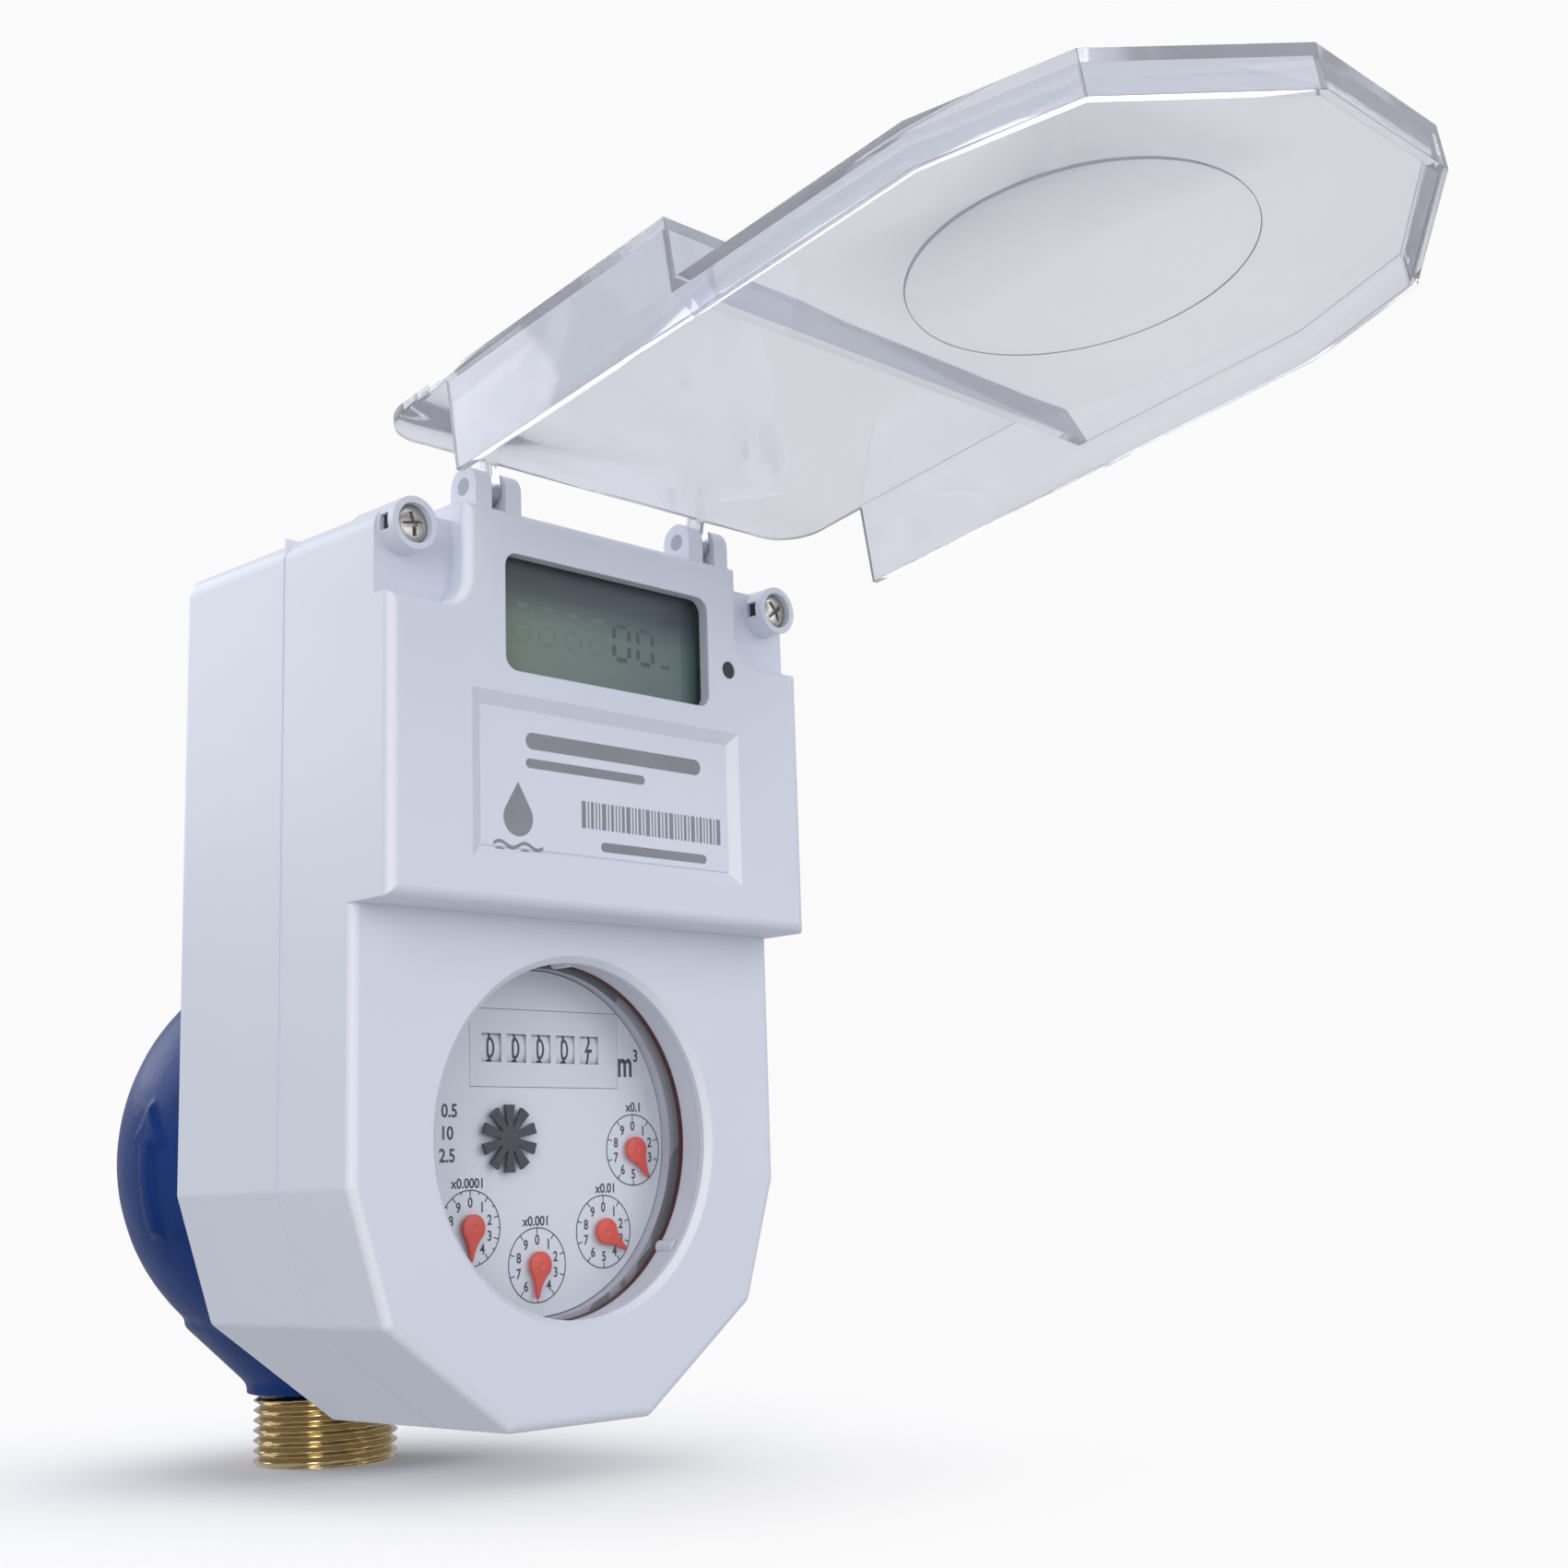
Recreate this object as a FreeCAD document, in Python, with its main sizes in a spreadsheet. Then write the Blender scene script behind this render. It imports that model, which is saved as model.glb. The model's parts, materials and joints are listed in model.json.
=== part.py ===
import FreeCAD, Part
import math
import os
import Sketcher
from FreeCAD import Placement, Rotation, Vector

# Prepaid water meter with a built-in shut-off valve, in millimetres.
# Frame: origin at the centre of the lower pipe end, +Z up the pipe, front of the meter to -Y.
# Pieces of the register and housing are drawn in a second frame, the face frame: its origin is
# the centre of the dial on the front face, x right, y up, z out of the face towards the reader.

# Every driving dimension, by the name that the sheet gives it.
SIZES = {
    # Where the face frame sits.
    "dial_height": 56.5,
    "face_setback": 74.0,
    # How far a cut runs past the face that it opens.
    "cut_over": 1.0,
    # Housing: a tall box that ends below in half a decagon.
    "half_width": 46.6,
    "case_top": 100.6,
    "case_depth": 51.0,
    "case_wall": 2.2,
    "split_depth": 19.3,
    "edge_round": 1.8,
    "top_corner_round": 4.0,
    # Head: the thicker block that carries the display.
    "head_proud": 9.8,
    "head_bottom": 36.8,
    "head_top": 103.5,
    "notch_width": 31.3,
    "notch_bottom": 85.6,
    "notch_round": 5.0,
    "lug_proud": 5.6,
    "lug_overlap": 2.0,
    # Hump on top of the rear housing.
    "hump_inset": 3.0,
    "hump_height": 3.0,
    "hump_back": 45.0,
    "hump_bevel": 1.5,
    # Gasket between the two housing halves, and its set-back from the outside.
    "seam_thickness": 0.6,
    "seam_inset": 0.8,
    # Screws that join the halves.
    "post_radius": 2.8,
    "post_inset": 5.0,
    "post_height": 66.0,
    "post_bite": 0.42,
    "post_joint": 0.2,
    "screw_radius": 1.4,
    "screw_head_radius": 2.4,
    "screw_head_thickness": 1.5,
    "screw_bite": 9.0,
    "screw_clearance": 0.05,
    "screw_head_clearance": 0.1,
    "screw_end_gap": 0.5,
    # Sealing screws in their bosses.
    "boss_across": 41.6,
    "boss_height": 97.2,
    "boss_radius": 4.4,
    "boss_proud": 9.9,
    "seal_head_radius": 3.15,
    "seal_head_thickness": 2.0,
    "seal_head_sunk": 0.5,
    "seal_length": 8.0,
    "seal_clearance": 0.15,
    "seal_end_gap": 0.5,
    "cross_arm": 1.95,
    "cross_half": 0.41,
    "cross_depth": 1.2,
    "wire_window_width": 2.6,
    "wire_window_depth": 2.2,
    "wire_window_lift": 0.6,
    "wire_window_over": 0.5,
    # Hinge of the lid: two pins, each in a pair of ears.
    "hinge_height": 106.9,
    "hinge_proud": 6.1,
    "hinge_across": 24.3,
    "ear_radius": 3.4,
    "ear_width": 3.3,
    "ear_gap": 2.9,
    "pin_radius": 1.5,
    "pin_clearance": 0.08,
    "knuckle_radius": 2.5,
    "knuckle_side_gap": 0.3,
    # Lid.
    "open_angle": 99.5,
    "lid_gap": 0.4,
    "lid_wall": 1.3,
    "lid_plate": 1.5,
    "lid_skirt": 5.0,
    "lid_start": 2.6,
    "lid_skirt_start": 21.5,
    "lid_box_end": 71.8,
    "lid_corner_round": 8.0,
    "lid_lens_radius": 25.8,
    "lid_lens_proud": 0.4,
    # Display, light port and label in the head.
    "lcd_half_width": 23.3,
    "lcd_bottom": 76.0,
    "lcd_top": 96.1,
    "lcd_round": 2.5,
    "pane_gap": 0.1,
    "pane_sunk": 0.3,
    "pane_flange": 2.0,
    "pane_flange_thickness": 1.0,
    "lcd_thickness": 2.8,
    "port_across": 28.4,
    "port_height": 83.7,
    "port_radius": 1.6,
    "port_length": 6.5,
    "port_gap": 0.1,
    "label_half_width": 30.3,
    "label_bottom": 44.3,
    "label_top": 72.0,
    "label_bevel": 2.2,
    "label_depth": 1.2,
    "label_film": 0.2,
    "label_gap": 0.1,
    "board_half_width": 28.4,
    "board_bottom": 42.0,
    "board_top": 98.0,
    "board_thickness": 1.6,
    "board_gap": 0.8,
    "battery_radius": 7.25,
    "battery_length": 50.0,
    "battery_height": 54.0,
    "battery_gap": 1.6,
    "battery_cap_radius": 2.9,
    "battery_cap_height": 0.8,
    "radio_width": 18.0,
    "radio_height": 12.0,
    "radio_thickness": 2.8,
    # Round window and the stack behind it, from the front to the back.
    "window_radius": 29.75,
    "window_bevel": 1.1,
    "bezel_inner": 30.2,
    "bezel_outer": 36.0,
    "bezel_height": 4.8,
    "bezel_gasket": 0.9,
    "gasket_proud": 0.2,
    "glass_thickness": 2.0,
    "case_radius": 33.5,
    "case_inner": 29.6,
    "case_floor": 1.4,
    "case_height": 18.1,
    "dial_sunk": 2.0,
    "dial_thickness": 1.0,
    "dial_gap": 0.2,
    # Roller counter.
    "counter_left": -14.3,
    "counter_right": 19.0,
    "counter_bottom": 9.2,
    "counter_top": 22.6,
    "drums_left": -12.35,
    "drums_right": 15.15,
    "drum_radius": 6.0,
    "drum_side_gap": 0.4,
    "drum_sunk": 0.3,
    "shaft_radius": 1.25,
    "shaft_clearance": 0.05,
    "cheek_thickness": 1.4,
    "cheek_gap": 0.5,
    "cheek_half": 3.125,
    # Pointers and leak star.
    "pointer_eye": 2.4,
    "pointer_reach": 5.6,
    "pointer_tail_half": 2.16,
    "pointer_tip_half": 0.29,
    "pointer_thickness": 0.8,
    "pointer_lift": 0.6,
    "pointer_shaft": 0.8,
    "pointer_hole": 0.3,
    "star_across": -6.65,
    "star_height": 0.5,
    "star_radius": 5.7,
    "star_hub": 2.1,
    "star_tip_half": 0.97,
    "star_root_half": 0.29,
    "frame_thickness": 1.3,
    "frame_gap": 0.4,
    "frame_rim_gap": 0.4,
    "magnet_radius": 4.5,
    "magnet_thickness": 2.0,
    "magnet_lift": 0.2,
    # Head of the wet body: ring, plate, gasket.
    "head_radius": 38.3,
    "head_wall": 2.5,
    "head_clearance": 0.4,
    "ring_radius": 40.8,
    "ring_inner": 34.0,
    "ring_lip": 1.5,
    "ring_grip": 8.0,
    "ring_clearance": 0.1,
    "plate_thickness": 4.0,
    "head_gasket": 0.8,
    # Wet body: bowl, pipe, valve chamber.
    "bowl_radius": 40.3,
    "bowl_offset": 3.2,
    "bowl_wall": 6.0,
    "bowl_behind_case": 0.5,
    "pipe_length": 165.0,
    "thread_radius": 13.22,
    "thread_pitch": 1.814,
    "thread_depth": 1.16,
    "neck_radius": 14.6,
    "neck_length": 2.0,
    "cone_radius": 26.0,
    "cone_height": 11.0,
    "chamber_radius": 17.0,
    "valve_height": 120.0,
    "chamber_half": 17.0,
    "port_bore": 9.0,
    "port_bore_length": 10.0,
    "outlet_bore": 10.0,
    "outlet_bore_length": 15.0,
    "valve_bore": 9.5,
    "flow_bore": 8.0,
    "bonnet_radius": 9.0,
    "bonnet_reach": 29.5,
    "bonnet_clearance": 0.4,
    "nut_radius": 13.0,
    "nut_thickness": 3.8,
    # Measuring chamber and impeller.
    "chamber_gap": 0.8,
    "cup_wall": 2.0,
    "cup_flange": 1.5,
    "cup_flange_thickness": 2.0,
    "cup_depth": 26.0,
    "jet_radius": 2.0,
    "jet_height": 6.0,
    "impeller_radius": 27.0,
    "impeller_hub": 5.0,
    "impeller_height": 14.0,
    "blade_thickness": 1.2,
    "impeller_gap": 3.0,
    # Valve.
    "ball_radius": 9.3,
    "ball_bore": 6.0,
    "ball_flat": 8.0,
    "seat_gap": 7.5,
    "seat_thickness": 2.5,
    "retainer_thickness": 6.0,
    "stem_radius": 3.0,
    "stem_clearance": 0.08,
    "stem_entry": 3.0,
    "packing_radius": 5.0,
    "packing_thickness": 2.0,
    "motor_half_width": 14.0,
    "motor_half_height": 17.5,
    "motor_depth": 20.0,
    "motor_gap": 0.5,
    # Strainer in the inlet.
    "strainer_wall": 0.8,
    "strainer_length": 16.0,
    "strainer_hole": 1.0,
    "strainer_gap": 0.1,
}

# Sub-dials as (name, across, up, angle the pointer stands at, clockwise from the top).
SUB_DIALS = [
    ("pointer_tenths", 22.4, -1.6, 146.0),
    ("pointer_hundredths", 15.1, -15.7, 123.0),
    ("pointer_thousandths", 0.0, -20.8, 186.0),
    ("pointer_ten_thousandths", -14.3, -14.2, 184.0),
]
DRUM_COUNT = 5
BLADE_COUNT = 7
JET_COUNT = 12
STAR_SPOKES = 10
STRAINER_RINGS = 5
STRAINER_HOLES = 10
THREAD_TURNS = 7
# Where a thread's crest starts and ends within one pitch.
CREST_START = 0.4
CREST_END = 0.6

# The housing's lower end follows a regular decagon whose flats stand half_width from the dial.
DECAGON_STEP = 36.0
TAN_QUARTER = math.tan(math.radians(DECAGON_STEP / 4))
TAN_HALF = math.tan(math.radians(DECAGON_STEP / 2))
COS_HALF = math.cos(math.radians(DECAGON_STEP / 2))
COS_STEP = math.cos(math.radians(DECAGON_STEP))
SIN_STEP = math.sin(math.radians(DECAGON_STEP))

FACING = Rotation(Vector(1, 0, 0), 90)
SIDEWAYS = Rotation(Vector(0, 1, 0), 90)

doc = FreeCAD.newDocument("water_meter")
sheet = doc.addObject("Spreadsheet::Sheet", "Sizes")


class Size:
    """A length: its value now, and the sheet formula that gives it."""

    def __init__(self, value, formula):
        self.value = value
        self.formula = formula

    def __add__(self, other):
        other = as_size(other)
        return Size(self.value + other.value, f"({self.formula} + {other.formula})")

    def __sub__(self, other):
        other = as_size(other)
        return Size(self.value - other.value, f"({self.formula} - {other.formula})")

    def __mul__(self, factor):
        factor = as_size(factor)
        return Size(self.value * factor.value, f"({self.formula} * {factor.formula})")

    def __neg__(self):
        return self * -1


def as_size(number):
    """A plain number as a size of its own."""
    if isinstance(number, Size):
        return number
    return Size(float(number), f"({float(number):.9f})")


def fill_sheet():
    """Write every size into the sheet and return them by name."""
    found = {}
    for row, (name, value) in enumerate(SIZES.items(), start=1):
        sheet.set(f"A{row}", name)
        sheet.set(f"B{row}", str(value))
        sheet.setAlias(f"B{row}", name)
        found[name] = Size(value, f"Sizes.{name}")
    doc.recompute()
    return found


class Names:
    """Sizes by attribute, so that a formula reads as words."""

    def __init__(self, found):
        self.__dict__.update(found)


s = Names(fill_sheet())


def bind(thing, prop, size):
    """Tie a property to the sheet."""
    thing.setExpression(prop, as_size(size).formula)


def place(thing, across, back, up, turn=Rotation()):
    """Put a piece in the meter's frame."""
    across, back, up = as_size(across), as_size(back), as_size(up)
    thing.Placement = Placement(Vector(across.value, back.value, up.value), turn)
    for axis, size in (("x", across), ("y", back), ("z", up)):
        bind(thing, f"Placement.Base.{axis}", size)
    return thing


def new_body(name):
    """An empty body named after its piece."""
    body = doc.addObject("PartDesign::Body", name)
    body.Label = name
    return body


def face_body(name):
    """A body drawn in the face frame."""
    return place(new_body(name), 0, -s.face_setback, s.dial_height, FACING)


def origin_feature(body, role):
    """One of a body's own base planes or axes."""
    return next(item for item in body.Origin.OriginFeatures if item.Role == role)


def sketch_on(body, plane, lift):
    """A sketch on one of the body's base planes, lifted along its normal."""
    sketch = body.newObject("Sketcher::SketchObject", f"{body.Name}_sketch")
    sketch.AttachmentSupport = (origin_feature(body, plane), [""])
    sketch.MapMode = "FlatFace"
    bind(sketch, "AttachmentOffset.Base.z", lift)
    return sketch


def pin_point(sketch, geometry, point, corner):
    """Hold one sketch point at a corner given by two sizes."""
    for kind, size in zip(("DistanceX", "DistanceY"), corner):
        size = as_size(size)
        rule = Sketcher.Constraint(kind, -1, 1, geometry, point, size.value)
        index = sketch.addConstraint(rule)
        bind(sketch, f"Constraints[{index}]", size)


def add_polygon(sketch, corners):
    """A closed outline through the corners."""
    first = sketch.GeometryCount
    spots = [Vector(as_size(x).value, as_size(y).value, 0) for x, y in corners]
    for index, spot in enumerate(spots):
        sketch.addGeometry(Part.LineSegment(spot, spots[(index + 1) % len(spots)]), False)
    for index, corner in enumerate(corners):
        following = first + (index + 1) % len(corners)
        sketch.addConstraint(Sketcher.Constraint("Coincident", first + index, 2, following, 1))
        pin_point(sketch, first + index, 1, corner)


def add_circle(sketch, across, up, radius):
    """A circle held by its centre and radius."""
    radius = as_size(radius)
    centre = Vector(as_size(across).value, as_size(up).value, 0)
    circle = sketch.addGeometry(Part.Circle(centre, Vector(0, 0, 1), radius.value), False)
    pin_point(sketch, circle, 3, (across, up))
    index = sketch.addConstraint(Sketcher.Constraint("Radius", circle, radius.value))
    bind(sketch, f"Constraints[{index}]", radius)


def rectangle(low_x, low_y, high_x, high_y):
    """Corners of an upright rectangle."""
    return [(low_x, low_y), (high_x, low_y), (high_x, high_y), (low_x, high_y)]


def layer(body, low, high, outlines=(), circles=(), cut=False, plane="XY_Plane"):
    """Add, or cut, everything between two levels inside the outlines."""
    low, high = as_size(low), as_size(high)
    sketch = sketch_on(body, plane, low)
    for corners in outlines:
        add_polygon(sketch, corners)
    for circle in circles:
        add_circle(sketch, *circle)
    kind = "PartDesign::Pocket" if cut else "PartDesign::Pad"
    feature = body.newObject(kind, f"{body.Name}_{'cut' if cut else 'add'}")
    feature.Profile = sketch
    bind(feature, "Length", high - low)
    feature.Reversed = cut
    body.Tip = feature
    return feature


def turned(body, corners, cut=False):
    """Add, or cut, a profile of (radius, height) corners turned about the body's Z axis."""
    sketch = sketch_on(body, "XZ_Plane", 0)
    add_polygon(sketch, corners)
    kind = "PartDesign::Groove" if cut else "PartDesign::Revolution"
    feature = body.newObject(kind, f"{body.Name}_{'groove' if cut else 'turn'}")
    feature.Profile = sketch
    feature.ReferenceAxis = (sketch, ["V_Axis"])
    feature.Angle = 360
    body.Tip = feature
    return feature


def ring(body, inner, outer, low, high):
    """A plain ring about the body's Z axis."""
    return turned(body, rectangle(inner, low, outer, high))


def around(body, feature, count):
    """Repeat a feature round the body's Z axis."""
    pattern = body.newObject("PartDesign::PolarPattern", f"{body.Name}_pattern")
    pattern.Originals = [feature]
    pattern.Axis = (origin_feature(body, "Z_Axis"), [""])
    pattern.Angle = 360
    pattern.Occurrences = count
    body.Tip = pattern
    return pattern


def edges_where(feature, test):
    """Names of the edges whose middle point passes a test."""
    names = []
    for index, edge in enumerate(feature.Shape.Edges, start=1):
        middle = edge.valueAt((edge.FirstParameter + edge.LastParameter) / 2)
        if test(edge, middle):
            names.append(f"Edge{index}")
    return names


def dress(body, kind, prop, size, test):
    """Round or bevel the edges of the body's latest feature that pass a test."""
    doc.recompute()
    base = body.Tip
    names = edges_where(base, test)
    feature = body.newObject(f"PartDesign::{kind}", f"{body.Name}_{kind.lower()}")
    feature.Base = (base, names)
    bind(feature, prop, size)
    body.Tip = feature
    return feature


def near(first, second):
    """Whether two lengths are the same."""
    return abs(first - second) < 1e-4


def runs_along_z(edge):
    """Whether an edge is straight and upright in its own frame."""
    ends = [vertex.Point for vertex in edge.Vertexes]
    return len(ends) == 2 and near(ends[0].x, ends[1].x) and near(ends[0].y, ends[1].y)


def case_outline(flat, top, shift=0):
    """The housing's outline with its flats at the given distance from the dial's centre."""
    flat, top, shift = as_size(flat), as_size(top), as_size(shift)
    corner = flat * (1 / COS_HALF)
    right = [
        (flat, top),
        (flat, shift - flat * TAN_QUARTER),
        (corner * COS_STEP, shift - corner * SIN_STEP),
        (flat * TAN_HALF, shift - flat),
    ]
    return right + [(-x, y) for x, y in reversed(right)]


def both_sides(across):
    """A distance to the left and to the right."""
    return (-across, across)


# Levels in the face frame that several pieces share, from the front to the back.
inner_front = -s.case_wall
bezel_back = inner_front - s.bezel_height
glass_front = bezel_back - s.bezel_gasket
glass_back = glass_front - s.glass_thickness
dial_front = glass_back - s.dial_sunk
dial_back = dial_front - s.dial_thickness
case_back = glass_back - s.case_height
case_inside = case_back + s.case_floor
plate_back = case_back - s.plate_thickness
body_front = plate_back - s.head_gasket
seam_back = -s.split_depth - s.seam_thickness
inner_back = s.case_wall - s.case_depth
head_inner = s.head_proud - s.case_wall
inner_flat = s.half_width - s.case_wall
inner_top = s.case_top - s.case_wall
drum_axis = dial_front - s.drum_sunk - s.drum_radius
drum_up = (s.counter_bottom + s.counter_top) * 0.5
frame_front = drum_axis - s.drum_radius - s.frame_gap
frame_back = frame_front - s.frame_thickness
mouth_radius = s.head_radius - s.head_wall
cup_flange_radius = mouth_radius - s.ring_clearance
cup_outer = cup_flange_radius - s.cup_flange
cup_inner = cup_outer - s.cup_wall
cup_top = body_front - s.chamber_gap
cup_bottom = cup_top - s.cup_depth

# Centres of the four posts that take the housing screws.
low_post_reach = s.half_width * (1 / COS_HALF) - s.post_inset
low_post = (low_post_reach * COS_STEP, low_post_reach * -SIN_STEP)
high_post = (inner_flat - s.post_radius + s.post_bite, s.post_height)
posts = [(across, up) for reach, up in (low_post, high_post) for across in both_sides(reach)]


def front_cover():
    """The front half of the housing: head, window, display opening, bosses and hinge ears."""
    body = face_body("front_cover")
    notch = [
        (s.half_width, s.head_bottom),
        (s.half_width, s.notch_bottom),
        (s.notch_width, s.notch_bottom),
        (s.notch_width, s.head_top),
    ]
    head = notch + [(-x, y) for x, y in reversed(notch)]
    layer(body, -s.split_depth, 0, [case_outline(s.half_width, s.case_top)])
    layer(body, -s.case_wall, s.head_proud, [head])
    inner, bottom = s.notch_width - s.lug_overlap, s.notch_bottom - s.lug_overlap
    for low, high in ((-s.half_width, -inner), (inner, s.half_width)):
        layer(body, -s.case_wall, s.lug_proud, [rectangle(low, bottom, high, s.case_top)])
    dress(body, "Fillet", "Radius", s.top_corner_round, lambda edge, spot: (
        runs_along_z(edge) and near(abs(spot.x), s.half_width.value) and near(spot.y, s.case_top.value)))
    dress(body, "Fillet", "Radius", s.notch_round, lambda edge, spot: (
        runs_along_z(edge) and near(abs(spot.x), s.notch_width.value)
        and near(spot.y, s.notch_bottom.value)))
    dress(body, "Fillet", "Radius", s.edge_round, lambda edge, spot: (
        near(spot.z, s.head_proud.value)
        or (near(spot.z, 0) and spot.y < s.head_bottom.value - 1)
        or (runs_along_z(edge) and spot.y < 0)))
    dress_bosses(body)
    hollow_front_cover(body)
    pierce_front_cover(body)
    add_ears(body)
    return body


def dress_bosses(body):
    """The two round bosses that hold the sealing screws."""
    for across in both_sides(s.boss_across):
        layer(body, -s.case_wall, s.boss_proud, circles=[(across, s.boss_height, s.boss_radius)])


def hollow_front_cover(body):
    """Clear the inside, then stand the screw posts in it."""
    layer(body, -s.split_depth, inner_front, [case_outline(inner_flat, inner_top)], cut=True)
    notch = [
        (inner_flat, s.head_bottom + s.case_wall),
        (inner_flat, s.notch_bottom - s.case_wall),
        (s.notch_width - s.case_wall, s.notch_bottom - s.case_wall),
        (s.notch_width - s.case_wall, inner_top),
    ]
    inside = notch + [(-x, y) for x, y in reversed(notch)]
    layer(body, inner_front, head_inner, [inside], cut=True)
    hole = s.screw_radius + s.screw_clearance
    for (across, up), top in zip(posts, (inner_front, inner_front, head_inner, head_inner)):
        layer(body, -s.split_depth, top + s.post_joint, circles=[(across, up, s.post_radius)])
        layer(body, -s.split_depth, s.screw_bite - s.split_depth, circles=[(across, up, hole)], cut=True)


def pierce_front_cover(body):
    """Window, display opening, light port, label recess and screw holes."""
    layer(body, inner_front, 0, circles=[(0, 0, s.window_radius)], cut=True)
    dress(body, "Chamfer", "Size", s.window_bevel, lambda edge, spot: (
        near(spot.z, 0) and near(math.hypot(spot.x, spot.y), s.window_radius.value)))
    opening = rectangle(-s.lcd_half_width, s.lcd_bottom, s.lcd_half_width, s.lcd_top)
    layer(body, head_inner, s.head_proud, [opening], cut=True)
    dress(body, "Fillet", "Radius", s.lcd_round, lambda edge, spot: (
        runs_along_z(edge) and near(abs(spot.x), s.lcd_half_width.value)))
    port = (s.port_across, s.port_height, s.port_radius)
    layer(body, s.head_proud - s.pane_sunk - s.port_length, s.head_proud, circles=[port], cut=True)
    recess_label(body)
    sink = s.boss_proud - s.seal_head_sunk - s.seal_head_thickness
    half = s.wire_window_width * 0.5
    for across in both_sides(s.boss_across):
        shank = (across, s.boss_height, s.screw_radius + s.screw_clearance)
        recess = (across, s.boss_height, s.seal_head_radius + s.seal_clearance)
        layer(body, sink - s.seal_length, s.boss_proud, circles=[shank], cut=True)
        layer(body, sink, s.boss_proud, circles=[recess], cut=True)
        reach = s.boss_radius + s.wire_window_over
        slot = rectangle(across - reach, s.boss_height - half, across + reach, s.boss_height + half)
        low = s.lug_proud + s.wire_window_lift
        layer(body, low, low + s.wire_window_depth, [slot], cut=True)


def recess_label(body):
    """The bevelled recess that takes the label."""
    floor = s.head_proud - s.label_depth
    outer = rectangle(-s.label_half_width, s.label_bottom, s.label_half_width, s.label_top)
    bevel = s.label_bevel
    inner = rectangle(-s.label_half_width + bevel, s.label_bottom + bevel,
                      s.label_half_width - bevel, s.label_top - bevel)
    low = sketch_on(body, "XY_Plane", floor)
    add_polygon(low, inner)
    high = sketch_on(body, "XY_Plane", s.head_proud)
    add_polygon(high, outer)
    loft = body.newObject("PartDesign::SubtractiveLoft", "front_cover_recess")
    loft.Profile = high
    loft.Sections = [low]
    loft.Ruled = True
    body.Tip = loft


def ear_starts():
    """Where each ear begins across the head, from left to right."""
    half_gap = s.ear_gap * 0.5
    for centre in both_sides(s.hinge_across):
        yield centre - half_gap - s.ear_width
        yield centre + half_gap


def add_ears(body):
    """Four ears with rounded tops, bored for the hinge pins."""
    low, high = s.hinge_proud - s.ear_radius, s.hinge_proud + s.ear_radius
    foot = rectangle(s.head_top - s.case_wall, low, s.hinge_height, high)
    for start in ear_starts():
        layer(body, start, start + s.ear_width, [foot], plane="YZ_Plane")
        top = (s.hinge_height, s.hinge_proud, s.ear_radius)
        layer(body, start, start + s.ear_width, circles=[top], plane="YZ_Plane")
    reach = s.hinge_across + s.ear_gap + s.ear_width
    bore = (s.hinge_height, s.hinge_proud, s.pin_radius)
    layer(body, -reach, reach, circles=[bore], cut=True, plane="YZ_Plane")


def rear_housing():
    """The rear half of the housing, open at the back for the meter's head and the valve bonnet."""
    body = face_body("rear_housing")
    layer(body, -s.case_depth, seam_back, [case_outline(s.half_width, s.case_top)])
    dress(body, "Fillet", "Radius", s.top_corner_round, lambda edge, spot: (
        runs_along_z(edge) and near(spot.y, s.case_top.value)))
    dress(body, "Fillet", "Radius", s.edge_round, lambda edge, spot: (
        near(spot.z, -s.case_depth.value) or (runs_along_z(edge) and spot.y < 0)))
    hump_side = s.half_width - s.hump_inset - s.top_corner_round
    hump = rectangle(-hump_side, inner_top, hump_side, s.case_top + s.hump_height)
    layer(body, -s.hump_back, seam_back - s.hump_inset, [hump])
    dress(body, "Chamfer", "Size", s.hump_bevel, lambda edge, spot: (
        near(spot.y, s.case_top.value + s.hump_height.value)))
    layer(body, inner_back, seam_back, [case_outline(inner_flat, inner_top)], cut=True)
    meter_hole = (0, 0, s.head_radius + s.head_clearance)
    bonnet_hole = (0, s.valve_height - s.dial_height, s.bonnet_radius + s.bonnet_clearance)
    layer(body, -s.case_depth, inner_back, circles=[meter_hole], cut=True)
    layer(body, -s.case_depth, inner_back, circles=[bonnet_hole], cut=True)
    head_room = s.screw_head_radius + s.screw_head_clearance
    for across, up in posts:
        hole = (across, up, s.screw_radius + s.screw_clearance)
        layer(body, inner_back - s.post_joint, seam_back, circles=[(across, up, s.post_radius)])
        layer(body, -s.case_depth, seam_back, circles=[hole], cut=True)
        sink = s.screw_head_thickness - s.case_depth
        layer(body, -s.case_depth, sink, circles=[(across, up, head_room)], cut=True)
    return body


def housing_gasket():
    """The soft gasket that shows as a thin line between the two halves."""
    body = face_body("housing_gasket")
    outer = case_outline(s.half_width - s.seam_inset, s.case_top - s.seam_inset)
    layer(body, seam_back, -s.split_depth, [outer, case_outline(inner_flat, inner_top)])
    return body


def screw(body, across, up, head_low, head_high, head, shank_end):
    """A screw in the face frame: a head between two levels and a shank to a third."""
    layer(body, head_low, head_high, circles=[(across, up, head)])
    low, high = (head_high, shank_end) if shank_end.value > head_high.value else (shank_end, head_low)
    layer(body, low, high, circles=[(across, up, s.screw_radius)])


def group(name, pieces):
    """Separate identical solids under one name."""
    compound = doc.addObject("Part::Compound", name)
    compound.Label = name
    compound.Links = pieces
    return compound


def cover_screws():
    """Four long screws put in from the back."""
    pieces = []
    for index, (across, up) in enumerate(posts, start=1):
        body = face_body(f"cover_screw_{index}")
        head_high = s.screw_head_thickness - s.case_depth
        tip = s.screw_bite - s.split_depth - s.screw_end_gap
        screw(body, across, up, -s.case_depth, head_high, s.screw_head_radius, tip)
        pieces.append(body)
    return group("cover_screws", pieces)


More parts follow.
